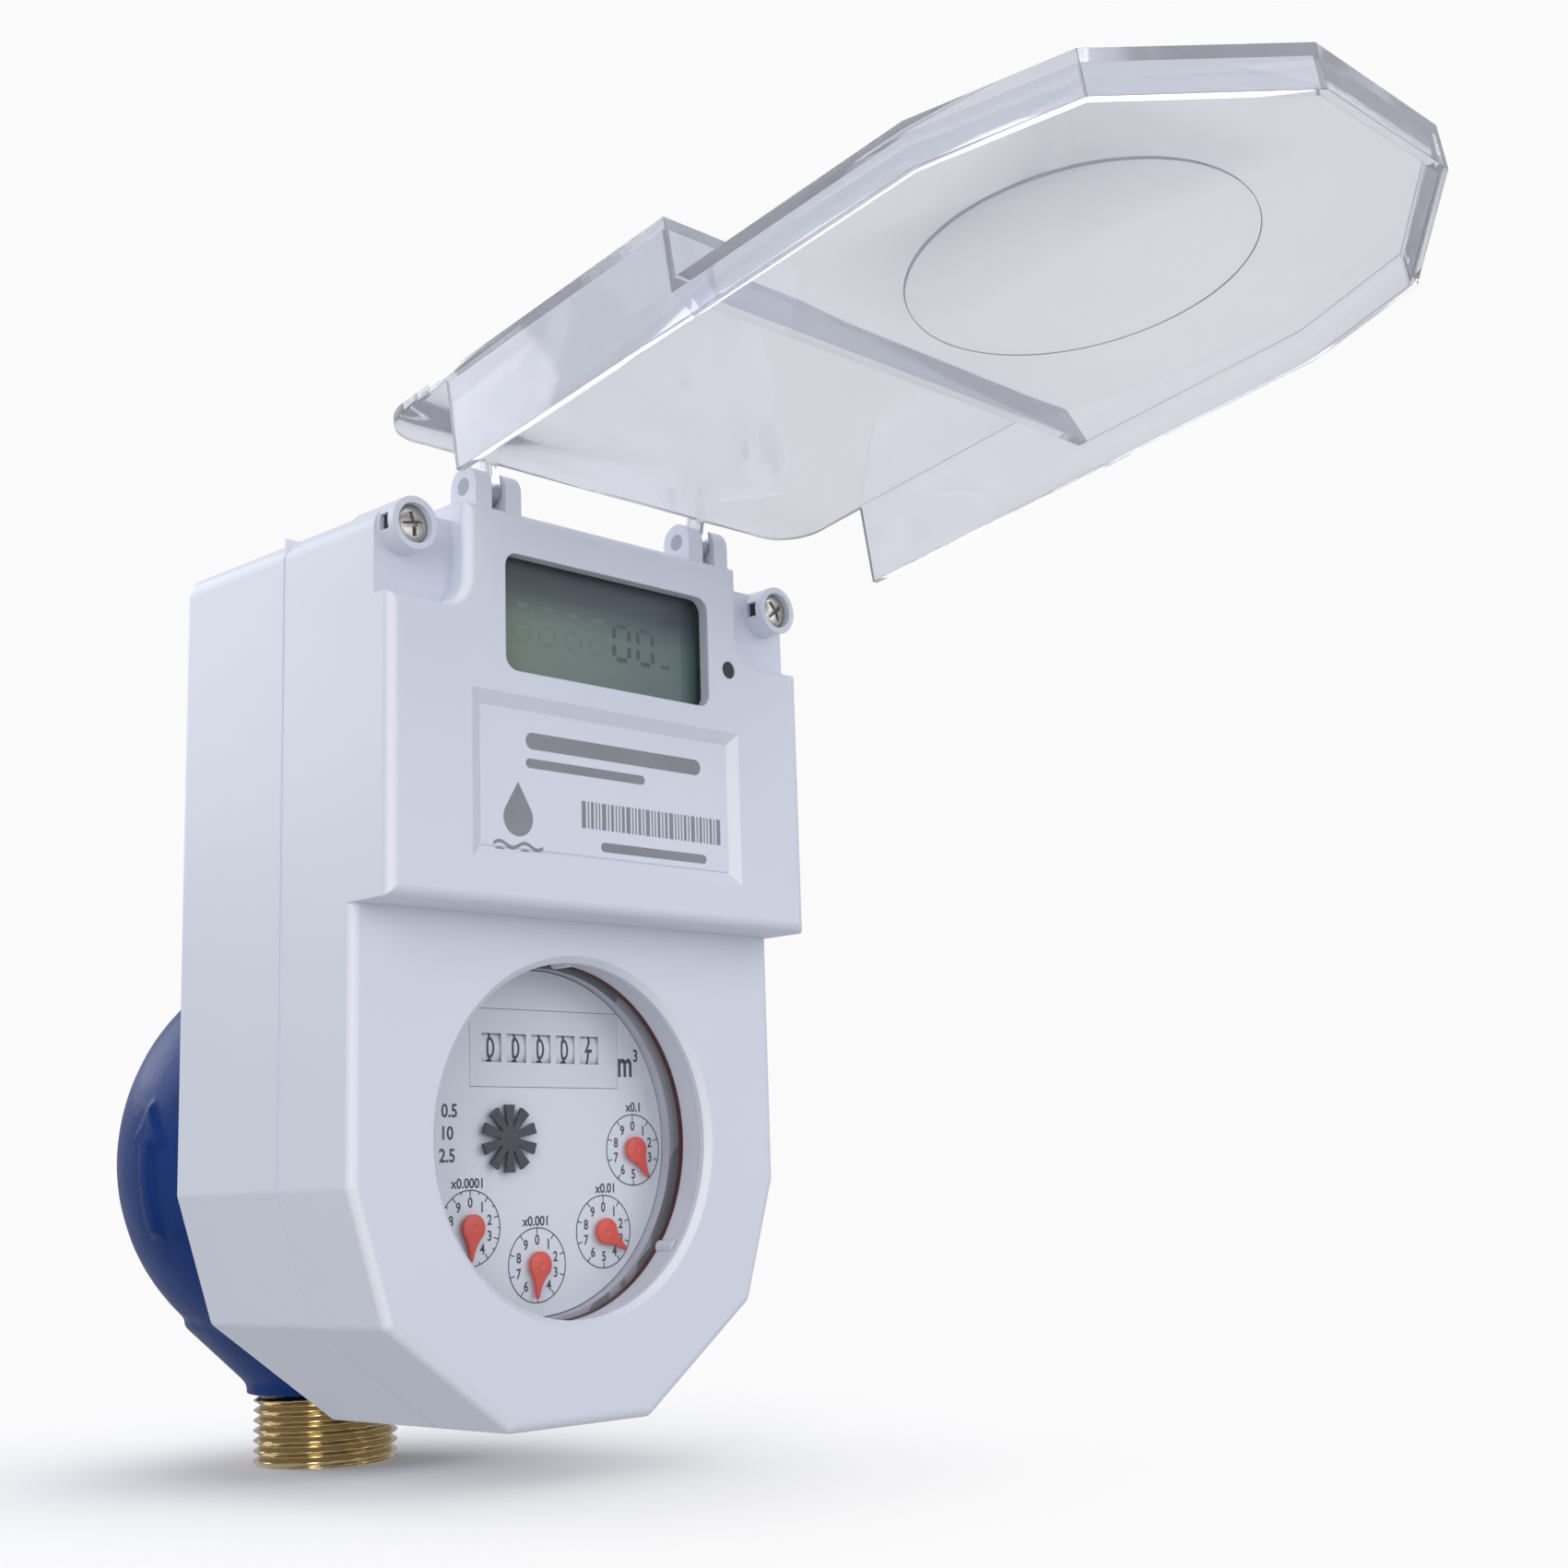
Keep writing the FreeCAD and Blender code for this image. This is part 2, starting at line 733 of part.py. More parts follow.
def seal_screws():
    """Two cross-headed sealing screws in the front bosses."""
    pieces = []
    for index, across in enumerate(both_sides(s.boss_across), start=1):
        body = face_body(f"seal_screw_{index}")
        high = s.boss_proud - s.seal_head_sunk
        low = high - s.seal_head_thickness
        tip = low - s.seal_length + s.seal_end_gap
        screw(body, across, s.boss_height, low, high, s.seal_head_radius, tip)
        arm, half = s.cross_arm, s.cross_half
        cross = [rectangle(across - arm, s.boss_height - half, across + arm, s.boss_height + half),
                 rectangle(across - half, s.boss_height - arm, across + half, s.boss_height + arm)]
        for bar in cross:
            layer(body, high - s.cross_depth, high, [bar], cut=True)
        pieces.append(body)
    return group("seal_screws", pieces)


def hinge_pins():
    """Two short pins, each through its pair of ears."""
    pieces = []
    half = s.ear_gap * 0.5 + s.ear_width
    for index, across in enumerate(both_sides(s.hinge_across), start=1):
        body = face_body(f"hinge_pin_{index}")
        pin = (s.hinge_height, s.hinge_proud, s.pin_radius)
        layer(body, across - half, across + half, circles=[pin], plane="YZ_Plane")
        pieces.append(body)
    return group("hinge_pins", pieces)


def lid():
    """The clear lid, drawn shut about its own hinge line and then swung open."""
    body = new_body("lid")
    place(body, 0, -(s.face_setback + s.hinge_proud), s.dial_height + s.hinge_height)
    body.Placement = Placement(body.Placement.Base, Rotation(Vector(1, 0, 0), 90 - s.open_angle.value))
    bind(body, "Placement.Rotation.Axis.x", 1)
    bind(body, "Placement.Rotation.Axis.y", 0)
    bind(body, "Placement.Rotation.Axis.z", 0)
    bind(body, "Placement.Rotation.Angle", as_size(90) - s.open_angle)
    centre = -s.hinge_height
    edge = -(s.lid_skirt + s.hinge_proud)
    low_inner = s.lid_gap - s.hinge_proud
    high_inner = low_inner + s.head_proud
    low_outer, high_outer = low_inner + s.lid_plate, high_inner + s.lid_plate
    clear = s.half_width + s.lid_gap
    flat = clear + s.lid_wall
    start, skirt_start, box_end = -s.lid_start, -s.lid_skirt_start, -s.lid_box_end
    layer(body, edge, low_outer, [case_outline(flat, skirt_start, centre)])
    layer(body, edge, high_outer, [rectangle(-flat, box_end, flat, skirt_start)])
    layer(body, high_inner, high_outer, [rectangle(-flat, skirt_start, flat, start)])
    dress(body, "Fillet", "Radius", s.lid_corner_round, lambda edge, spot: (
        runs_along_z(edge) and near(spot.y, start.value)))
    layer(body, edge, low_inner, [case_outline(clear, skirt_start, centre)], cut=True)
    inside = rectangle(-clear, box_end + s.lid_wall, clear, skirt_start)
    layer(body, low_inner, high_inner, [inside], cut=True)
    lens = (0, centre, s.lid_lens_radius)
    layer(body, low_outer, low_outer + s.lid_lens_proud, circles=[lens])
    add_knuckles(body, high_inner, high_outer)
    return body


def add_knuckles(body, inner, outer):
    """Two knuckles that reach from the lid's plate round the hinge pins."""
    half = s.ear_gap * 0.5 - s.knuckle_side_gap
    round_end = s.knuckle_radius
    foot = -(s.lid_start + s.lid_plate)
    arm = [(round_end, 0), (-round_end, 0), (-round_end, inner), (foot, inner), (foot, outer), (0, outer)]
    for across in both_sides(s.hinge_across):
        layer(body, across - half, across + half, [arm], plane="YZ_Plane")
        layer(body, across - half, across + half, circles=[(0, 0, round_end)], plane="YZ_Plane")
    reach = s.hinge_across + s.ear_gap
    bore = (0, 0, s.pin_radius + s.pin_clearance)
    layer(body, -reach, reach, circles=[bore], cut=True, plane="YZ_Plane")


def lcd_window():
    """The clear pane of the display, with a flange behind the opening."""
    body = face_body("lcd_window")
    gap = s.pane_gap
    pane = rectangle(gap - s.lcd_half_width, s.lcd_bottom + gap, s.lcd_half_width - gap, s.lcd_top - gap)
    layer(body, head_inner, s.head_proud - s.pane_sunk, [pane])
    dress(body, "Fillet", "Radius", s.lcd_round, lambda edge, spot: runs_along_z(edge))
    rim = s.pane_flange
    flange = rectangle(-s.lcd_half_width - rim, s.lcd_bottom - rim,
                       s.lcd_half_width + rim, s.lcd_top + rim)
    layer(body, head_inner - s.pane_flange_thickness, head_inner, [flange])
    return body


def lcd_module():
    """The liquid crystal display that stands behind the pane."""
    body = face_body("lcd_module")
    front = head_inner - s.pane_flange_thickness - s.pane_gap
    glass = rectangle(-s.lcd_half_width, s.lcd_bottom, s.lcd_half_width, s.lcd_top)
    layer(body, front - s.lcd_thickness, front, [glass])
    return body


def board_front():
    """Level of the circuit board's front face."""
    lcd_front = head_inner - s.pane_flange_thickness - s.pane_gap
    return lcd_front - s.lcd_thickness - s.board_gap


def circuit_board():
    """The electronics board behind the display."""
    body = face_body("circuit_board")
    back = board_front() - s.board_thickness
    layer(body, back, board_front(),
          [rectangle(-s.board_half_width, s.board_bottom, s.board_half_width, s.board_top)])
    return body


def radio_module():
    """The shielded radio on the back of the board."""
    body = face_body("radio_module")
    high = board_front() - s.board_thickness
    half = s.radio_width * 0.5
    top = s.board_top - s.board_gap
    layer(body, high - s.radio_thickness, high, [rectangle(-half, top - s.radio_height, half, top)])
    return body


def battery():
    """The lithium cell that lies across the housing behind the board."""
    body = face_body("battery")
    half = s.battery_length * 0.5
    level = board_front() - s.board_thickness - s.battery_gap - s.battery_radius
    layer(body, -half, half, circles=[(s.battery_height, level, s.battery_radius)], plane="YZ_Plane")
    cap = (s.battery_height, level, s.battery_cap_radius)
    layer(body, half, half + s.battery_cap_height, circles=[cap], plane="YZ_Plane")
    return body


def light_port():
    """The dark optical port beside the display."""
    body = face_body("light_port")
    top = s.head_proud - s.pane_sunk
    low = top - s.port_length
    layer(body, low, top, circles=[(s.port_across, s.port_height, s.port_radius - s.port_gap)])
    return body


def label_plate():
    """The thin label on the floor of its recess."""
    body = face_body("label_plate")
    floor = s.head_proud - s.label_depth
    inset = s.label_bevel + s.label_gap
    film = rectangle(inset - s.label_half_width, s.label_bottom + inset,
                     s.label_half_width - inset, s.label_top - inset)
    layer(body, floor, floor + s.label_film, [film])
    return body


def bezel():
    """The grey ring that presses the register's glass home."""
    body = face_body("bezel_ring")
    ring(body, s.bezel_inner, s.bezel_outer, bezel_back, inner_front)
    return body


def bezel_gasket():
    """The dark gasket under the bezel ring."""
    body = face_body("bezel_gasket")
    ring(body, s.bezel_inner - s.gasket_proud, s.case_radius, glass_front, bezel_back)
    return body


def register_glass():
    """The glass of the register."""
    body = face_body("register_glass")
    layer(body, glass_back, glass_front, circles=[(0, 0, s.case_radius)])
    return body


def register_case():
    """The cup that holds the counter and its dial."""
    body = face_body("register_case")
    layer(body, case_back, glass_back, circles=[(0, 0, s.case_radius)])
    layer(body, case_inside, glass_back, circles=[(0, 0, s.case_inner)], cut=True)
    return body


def dial_plate():
    """The white dial with its counter window and its holes for the pointers' shafts."""
    body = face_body("dial_plate")
    layer(body, dial_back, dial_front, circles=[(0, 0, s.case_inner - s.dial_gap)])
    window = rectangle(s.counter_left, s.counter_bottom, s.counter_right, s.counter_top)
    layer(body, dial_back, dial_front, [window], cut=True)
    hole = s.pointer_shaft + s.pointer_hole
    centres = [(across, up) for _, across, up, _ in SUB_DIALS] + [(s.star_across, s.star_height)]
    layer(body, dial_back, dial_front, circles=[(x, y, hole) for x, y in centres], cut=True)
    return body


def counter_cheeks():
    """Start of the left and the right cheek across the dial."""
    left = s.counter_left - s.cheek_gap - s.cheek_thickness
    return left, s.counter_right + s.cheek_gap


def counter_frame():
    """The movement plate with the two cheeks that carry the drum shaft."""
    body = face_body("counter_frame")
    layer(body, frame_back, frame_front, circles=[(0, 0, s.case_inner - s.frame_rim_gap)])
    for start in counter_cheeks():
        low, high = drum_up - s.cheek_half, drum_up + s.cheek_half
        cheek = rectangle(low, frame_back, high, drum_axis + s.cheek_half)
        layer(body, start, start + s.cheek_thickness, [cheek], plane="YZ_Plane")
    left, right = counter_cheeks()
    bore = (drum_up, drum_axis, s.shaft_radius)
    layer(body, left, right + s.cheek_thickness, circles=[bore], cut=True, plane="YZ_Plane")
    holes = [(x, y, s.pointer_shaft + s.shaft_clearance) for _, x, y, _ in SUB_DIALS]
    holes.append((s.star_across, s.star_height, s.pointer_shaft + s.shaft_clearance))
    holes.append((0, 0, s.pointer_shaft + s.shaft_clearance))
    layer(body, frame_back, frame_front, circles=holes, cut=True)
    return body


def drum_shaft():
    """The shaft that all number drums turn on."""
    body = face_body("drum_shaft")
    left, right = counter_cheeks()
    shaft = (drum_up, drum_axis, s.shaft_radius)
    layer(body, left, right + s.cheek_thickness, circles=[shaft], plane="YZ_Plane")
    return body


def number_drum(index):
    """One number drum, counted from the left."""
    body = new_body(f"number_drum_{index + 1}")
    pitch = (s.drums_right - s.drums_left) * (1 / DRUM_COUNT)
    start = s.drums_left + pitch * index + s.drum_side_gap * 0.5
    place(body, start, -(s.face_setback + drum_axis), s.dial_height + drum_up, SIDEWAYS)
    ring(body, s.shaft_radius + s.shaft_clearance, s.drum_radius, 0, pitch - s.drum_side_gap)
    return body


def face_turn(angle):
    """Facing the reader, then turned clockwise as the reader sees it."""
    return FACING * Rotation(Vector(0, 0, 1), -angle)


def pointer(name, across, up, angle):
    """A pointer with a round eye and a tapered tip, on a thin shaft."""
    body = new_body(name)
    level = dial_front + s.pointer_lift
    place(body, across, -s.face_setback - level, s.dial_height + up, face_turn(angle))
    tail, tip = s.pointer_tail_half, s.pointer_tip_half
    arrow = [(tail, 0), (tip, s.pointer_reach), (-tip, s.pointer_reach), (-tail, 0)]
    layer(body, 0, s.pointer_thickness, [arrow])
    layer(body, 0, s.pointer_thickness, circles=[(0, 0, s.pointer_eye)])
    layer(body, frame_back - level, 0, circles=[(0, 0, s.pointer_shaft)])
    return body


def leak_star():
    """The ten-pointed star that turns at the smallest flow."""
    body = new_body("leak_star")
    level = dial_front + s.pointer_lift
    place(body, s.star_across, -s.face_setback - level, s.dial_height + s.star_height, FACING)
    layer(body, 0, s.pointer_thickness, circles=[(0, 0, s.star_hub)])
    wide, narrow = s.star_tip_half, s.star_root_half
    spoke = [(narrow, 0), (wide, s.star_radius), (-wide, s.star_radius), (-narrow, 0)]
    around(body, layer(body, 0, s.pointer_thickness, [spoke]), STAR_SPOKES)
    layer(body, frame_back - level, 0, circles=[(0, 0, s.pointer_shaft)])
    return body


def register_magnet():
    """The magnet wheel that follows the impeller through the dry wall."""
    body = face_body("register_magnet")
    layer(body, frame_front + s.magnet_lift, frame_front + s.magnet_thickness,
          circles=[(0, 0, s.magnet_radius)])
    layer(body, frame_back, frame_front + s.frame_gap, circles=[(0, 0, s.pointer_shaft)])
    return body


def head_ring():
    """The brass ring that clamps the register and its plate on the wet body."""
    body = face_body("head_ring")
    bore = s.head_radius + s.ring_clearance
    profile = [
        (s.ring_inner, case_back + s.ring_lip),
        (s.ring_radius, case_back + s.ring_lip),
        (s.ring_radius, body_front - s.ring_grip),
        (bore, body_front - s.ring_grip),
        (bore, case_back),
        (s.ring_inner, case_back),
    ]
    turned(body, profile)
    return body


def pressure_plate():
    """The plate between the wet side and the dry register."""
    body = face_body("pressure_plate")
    layer(body, plate_back, case_back, circles=[(0, 0, s.head_radius - s.ring_clearance)])
    return body


def head_gasket():
    """The gasket between the plate and the wet body."""
    body = face_body("head_gasket")
    ring(body, mouth_radius, s.head_radius - s.ring_clearance, body_front, plate_back)
    return body


def measuring_chamber():
    """The cup with a ring of jets that the impeller turns in."""
    body = face_body("measuring_chamber")
    layer(body, cup_bottom, cup_top, circles=[(0, 0, cup_outer)])
    layer(body, cup_top - s.cup_flange_thickness, cup_top, circles=[(0, 0, cup_flange_radius)])
    layer(body, cup_bottom + s.cup_wall, cup_top, circles=[(0, 0, cup_inner)], cut=True)
    jet = (0, cup_bottom + s.jet_height, s.jet_radius)
    low, high = cup_inner - s.cut_over, cup_outer + s.cut_over
    around(body, layer(body, low, high, circles=[jet], cut=True, plane="YZ_Plane"), JET_COUNT)
    return body


def impeller():
    """The bladed wheel that the water turns."""
    body = face_body("impeller")
    low = cup_bottom + s.cup_wall + s.impeller_gap
    layer(body, low, low + s.impeller_height, circles=[(0, 0, s.impeller_hub)])
    half = s.blade_thickness * 0.5
    blade = rectangle(0, -half, s.impeller_radius, half)
    around(body, layer(body, low, low + s.impeller_height, [blade]), BLADE_COUNT)
    return body


def impeller_magnet():
    """The ring magnet on top of the impeller's hub."""
    body = face_body("impeller_magnet")
    low = cup_bottom + s.cup_wall + s.impeller_gap + s.impeller_height
    layer(body, low, low + s.magnet_thickness, circles=[(0, 0, s.magnet_radius)])
    return body


def thread_profile(start, pitches):
    """Corners up a V thread drawn as rings, from its foot."""
    crest, root = s.thread_radius, s.thread_radius - s.thread_depth
    corners = [(root, start)]
    for turn in range(pitches):
        corners.append((crest, start + s.thread_pitch * (turn + CREST_START)))
        corners.append((crest, start + s.thread_pitch * (turn + CREST_END)))
        corners.append((root, start + s.thread_pitch * (turn + 1)))
    return corners


def pipe_outside():
    """The pipe's outside: two threaded ends, necks, cones to the bowl and the valve chamber."""
    body = new_body("pipe_outside")
    thread = s.thread_pitch * THREAD_TURNS
    neck_top = thread + s.neck_length
    chamber_low = s.valve_height - s.chamber_half
    chamber_high = s.valve_height + s.chamber_half
    far = s.dial_height * 2 - neck_top
    profile = [(0, 0)] + thread_profile(as_size(0), THREAD_TURNS) + [
        (s.neck_radius, thread),
        (s.neck_radius, neck_top),
        (s.cone_radius, neck_top + s.cone_height),
        (s.cone_radius, far - s.cone_height),
        (s.chamber_radius, chamber_low - s.neck_length),
        (s.chamber_radius, chamber_high),
        (s.neck_radius, chamber_high + s.neck_length),
        (s.neck_radius, s.pipe_length - thread),
    ] + thread_profile(s.pipe_length - thread, THREAD_TURNS) + [(0, s.pipe_length)]
    turned(body, profile)
    return body


def upright(name, radius, low, high):
    """A cylinder up the pipe's axis."""
    radius, low, high = as_size(radius), as_size(low), as_size(high)
    rod = doc.addObject("Part::Cylinder", name)
    bind(rod, "Radius", radius)
    bind(rod, "Height", high - low)
    return place(rod, 0, 0, low)


def forward(name, radius, back, front, up):
    """A cylinder that runs from a back to a front level towards the reader."""
    radius, back, front = as_size(radius), as_size(back), as_size(front)
    rod = doc.addObject("Part::Cylinder", name)
    bind(rod, "Radius", radius)
    bind(rod, "Height", back - front)
    return place(rod, 0, back, up, FACING)


def ball(name, radius, back, up):
    """A full sphere."""
    sphere = doc.addObject("Part::Sphere", name)
    bind(sphere, "Radius", radius)
    return place(sphere, 0, back, up)


def fused(name, pieces):
    """One solid from several."""
    joined = doc.addObject("Part::MultiFuse", name)
    joined.Shapes = pieces
    joined.Refine = True
    return joined


def cut_from(name, base, tool):
    """A solid with a tool's shape taken away."""
    result = doc.addObject("Part::Cut", name)
    result.Label = name
    result.Base = base
    result.Tool = tool
    result.Refine = True
    return result


def to_back(level):
    """A level of the face frame as a distance along the meter's Y axis."""
    return -s.face_setback - level


def bowl(name, radius, front):
    """A ball at the bowl's centre, cut flat at a front level so that it stays behind the housing."""
    whole = ball(f"{name}_ball", radius, -s.bowl_offset, s.dial_height)
    rest = forward(f"{name}_front", radius, front, front - radius, s.dial_height)
    return cut_from(name, whole, rest)


def meter_body():
    """The cast wet body: pipe, bowl, threaded head, valve chamber and bonnet in one piece."""
    bowl_front = to_back(-s.case_depth) + s.bowl_behind_case
    outside = fused("body_outside", [
        pipe_outside(),
        bowl("bowl", s.bowl_radius, bowl_front),
        forward("head", s.head_radius, -s.bowl_offset, to_back(body_front), s.dial_height),
        forward("bonnet", s.bonnet_radius, as_size(0), -s.bonnet_reach, s.valve_height),
    ])
    seat_low = s.valve_height - s.seat_gap - s.seat_thickness
    ledge = to_back(cup_top - s.cup_flange_thickness)
    packing = s.packing_thickness - s.bonnet_reach
    inside = fused("body_inside", [
        upright("inlet", s.port_bore, 0, s.port_bore_length),
        upright("inlet_flow", s.flow_bore, s.port_bore_length, s.dial_height),
        upright("outlet_flow", s.flow_bore, s.dial_height, seat_low),
        upright("valve_room", s.valve_bore, seat_low, s.pipe_length - s.outlet_bore_length),
        upright("outlet", s.outlet_bore, s.pipe_length - s.outlet_bore_length, s.pipe_length),
        bowl("bowl_inside", s.bowl_radius - s.bowl_wall, bowl_front + s.bowl_wall),
        forward("head_inside", cup_outer + s.ring_clearance * 2, -s.bowl_offset, ledge, s.dial_height),
        forward("head_mouth", mouth_radius, ledge, to_back(body_front), s.dial_height),
        forward("stem_bore", s.stem_radius + s.stem_clearance, as_size(0), -s.bonnet_reach, s.valve_height),
        forward("packing_bore", s.packing_radius, packing, -s.bonnet_reach, s.valve_height),
    ])
    return cut_from("meter_body", outside, inside)


def bonnet_nut():
    """The six-sided nut on the bonnet that holds the housing against the body."""
    body = new_body("bonnet_nut")
    place(body, 0, -s.face_setback - inner_back, s.valve_height, FACING)
    corners = []
    for step in range(6):
        angle = math.radians(60 * step)
        corners.append((s.nut_radius * math.cos(angle), s.nut_radius * math.sin(angle)))
    layer(body, 0, s.nut_thickness, [corners])
    layer(body, 0, s.nut_thickness, circles=[(0, 0, s.bonnet_radius)], cut=True)
    return body


def inlet_strainer():
    """The perforated thimble in the inlet."""
    body = new_body("inlet_strainer")
    place(body, 0, 0, s.port_bore_length)
    outer = s.flow_bore - s.strainer_gap
    layer(body, 0, s.strainer_length, circles=[(0, 0, outer)])
    inner = outer - s.strainer_wall
    layer(body, 0, s.strainer_length - s.strainer_wall, circles=[(0, 0, inner)], cut=True)
    pitch = s.strainer_length * (1 / (STRAINER_RINGS + 1))
    holes = [(0, pitch * (step + 1), s.strainer_hole) for step in range(STRAINER_RINGS)]
    low, high = inner - s.cut_over, outer + s.cut_over
    around(body, layer(body, low, high, circles=holes, cut=True, plane="YZ_Plane"), STRAINER_HOLES)
    return body


def valve_ball():
    """The ball of the shut-off valve, open at rest, with a flat for its stem."""
    sphere = ball("ball_blank", s.ball_radius, 0, s.valve_height)
    bore = upright("ball_bore", s.ball_bore, s.valve_height - s.ball_radius, s.valve_height + s.ball_radius)
    flat = forward("ball_flat", s.ball_radius, -s.ball_flat, -s.ball_radius, s.valve_height)
    return cut_from("valve_ball", sphere, fused("ball_tools", [bore, flat]))


def motor_back():
    """How far behind the pipe's axis the gearmotor's rear face stands, negative to the front."""
    return -s.bonnet_reach - s.motor_gap


def valve_stem():
    """The stem from the ball into the gearmotor."""
    body = new_body("valve_stem")
    place(body, 0, -s.ball_flat, s.valve_height, FACING)
    layer(body, 0, -motor_back() - s.ball_flat + s.stem_entry, circles=[(0, 0, s.stem_radius)])
    return body


def valve_seat_pair():
    """The two soft seats, one each side of the ball."""
    pieces = []
    low = s.valve_height - s.seat_gap - s.seat_thickness
    for index, start in enumerate((low, s.valve_height + s.seat_gap), start=1):
        body = new_body(f"valve_seat_{index}")
        place(body, 0, 0, start)
        ring(body, s.ball_bore, s.valve_bore, 0, s.seat_thickness)
        pieces.append(body)
    return group("valve_seats", pieces)


def valve_retainer():
    """The threaded ring that holds the seats and the ball in place."""
    body = new_body("valve_retainer")
    place(body, 0, 0, s.valve_height + s.seat_gap + s.seat_thickness)
    ring(body, s.ball_bore, s.valve_bore, 0, s.retainer_thickness)
    return body


def stem_packing():
    """The packing ring round the stem in the mouth of the bonnet."""
    body = new_body("stem_packing")
    place(body, 0, s.packing_thickness - s.bonnet_reach, s.valve_height, FACING)
    ring(body, s.stem_radius + s.stem_clearance, s.packing_radius, 0, s.packing_thickness)
    return body


def valve_gearmotor():
    """The gearmotor that turns the valve's stem."""
    body = new_body("valve_gearmotor")
    place(body, 0, motor_back(), s.valve_height, FACING)
    wide, tall = s.motor_half_width, s.motor_half_height
    layer(body, 0, s.motor_depth, [rectangle(-wide, -tall, wide, tall)])
    socket = (0, 0, s.stem_radius + s.stem_clearance)
    layer(body, 0, s.stem_entry + s.motor_gap, circles=[socket], cut=True)
    return body


def check(pieces):
    """Stop if any object failed or any piece has no sound solid."""
    doc.recompute()
    for item in doc.Objects:
        if "Invalid" in item.State or "Error" in item.State:
            raise RuntimeError(f"{item.Label} failed: {item.State}")
    for piece in pieces:
        if piece.Shape.isNull() or not piece.Shape.isValid() or not piece.Shape.Solids:
            raise RuntimeError(f"{piece.Label} has no sound solid")


def build():
    """Every sub-part of the meter."""
    pieces = [
        front_cover(), rear_housing(), housing_gasket(), cover_screws(), seal_screws(), hinge_pins(),
        lid(), lcd_window(), lcd_module(), circuit_board(), radio_module(), battery(), light_port(),
        label_plate(), bezel(), bezel_gasket(), register_glass(), register_case(), dial_plate(),
        counter_frame(), drum_shaft(), leak_star(), register_magnet(), head_ring(), pressure_plate(),
        head_gasket(), meter_body(), measuring_chamber(), impeller(), impeller_magnet(),
        inlet_strainer(), valve_ball(), valve_stem(), valve_seat_pair(), valve_retainer(),
        stem_packing(), valve_gearmotor(), bonnet_nut(),
    ]
    pieces += [number_drum(index) for index in range(DRUM_COUNT)]
    pieces += [pointer(*sub_dial) for sub_dial in SUB_DIALS]
    return pieces


parts = build()
check(parts)
os.makedirs("parts", exist_ok=True)
for part in parts:
    part.Shape.exportStep(os.path.join("parts", f"{part.Label}.step"))
print(f"{len(parts)} sub-parts written")
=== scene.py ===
# The looks of a prepaid water meter with a clear hinged lid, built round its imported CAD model.

import json
import math

import bmesh
import bpy
from mathutils import Matrix, Vector, noise


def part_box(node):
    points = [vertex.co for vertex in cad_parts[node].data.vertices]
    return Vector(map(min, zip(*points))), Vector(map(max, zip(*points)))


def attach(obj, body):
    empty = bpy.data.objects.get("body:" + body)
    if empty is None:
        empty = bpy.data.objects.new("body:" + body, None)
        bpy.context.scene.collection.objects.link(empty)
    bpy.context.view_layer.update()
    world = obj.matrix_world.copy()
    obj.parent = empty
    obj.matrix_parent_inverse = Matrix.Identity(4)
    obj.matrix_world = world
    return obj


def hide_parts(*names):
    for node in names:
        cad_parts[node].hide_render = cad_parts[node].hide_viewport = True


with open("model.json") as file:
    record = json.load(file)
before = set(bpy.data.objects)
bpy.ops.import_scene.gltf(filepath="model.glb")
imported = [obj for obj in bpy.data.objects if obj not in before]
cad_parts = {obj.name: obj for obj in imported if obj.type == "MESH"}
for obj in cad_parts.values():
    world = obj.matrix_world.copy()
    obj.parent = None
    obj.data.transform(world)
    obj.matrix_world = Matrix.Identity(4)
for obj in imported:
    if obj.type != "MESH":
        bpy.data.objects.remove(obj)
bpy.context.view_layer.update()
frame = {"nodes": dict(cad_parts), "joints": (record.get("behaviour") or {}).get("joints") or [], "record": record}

MM = 0.001
NODES = frame["nodes"]
JOINTS = {joint["name"]: joint for joint in frame["joints"]}

# The face frame: origin at the dial's centre on the housing's front, x right, y up, z towards the reader.
FACE = Vector(JOINTS["impeller_spin"]["pos_m"])
FACING = Matrix.Rotation(math.radians(90), 4, "X")


def face(x, y, z):
    """A point of the face frame, given in millimetres, in the row frame in metres."""
    return Vector((FACE.x + x * MM, FACE.y - z * MM, FACE.z + y * MM))


def face_place(x=0.0, y=0.0, z=0.0):
    """The move that takes a shape drawn in millimetres on a flat sheet to its place on the face."""
    return Matrix.Translation(face(x, y, z)) @ FACING @ Matrix.Scale(MM, 4)


def face_level(node, front=True):
    """How far a CAD node's front, or back, stands out of the face, in millimetres."""
    low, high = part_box(node)
    return (FACE.y - (low.y if front else high.y)) / MM


# ---------------------------------------------------------------- materials

def new_material(name):
    """A node material with its principled shader."""
    material = bpy.data.materials.new(name)
    material.use_nodes = True
    tree = material.node_tree
    return material, tree, tree.nodes["Principled BSDF"]


def add_node(tree, kind, **inputs):
    """A node with some of its inputs set by name."""
    node = tree.nodes.new(kind)
    for name, value in inputs.items():
        node.inputs[name.replace("_", " ")].default_value = value
    return node


def object_noise(tree, scale, detail=3.0):
    """Noise over the piece's own coordinates, scale in cycles per metre."""
    coords = tree.nodes.new("ShaderNodeTexCoord")
    cloud = add_node(tree, "ShaderNodeTexNoise", Scale=scale, Detail=detail)
    tree.links.new(coords.outputs["Object"], cloud.inputs["Vector"])
    return cloud


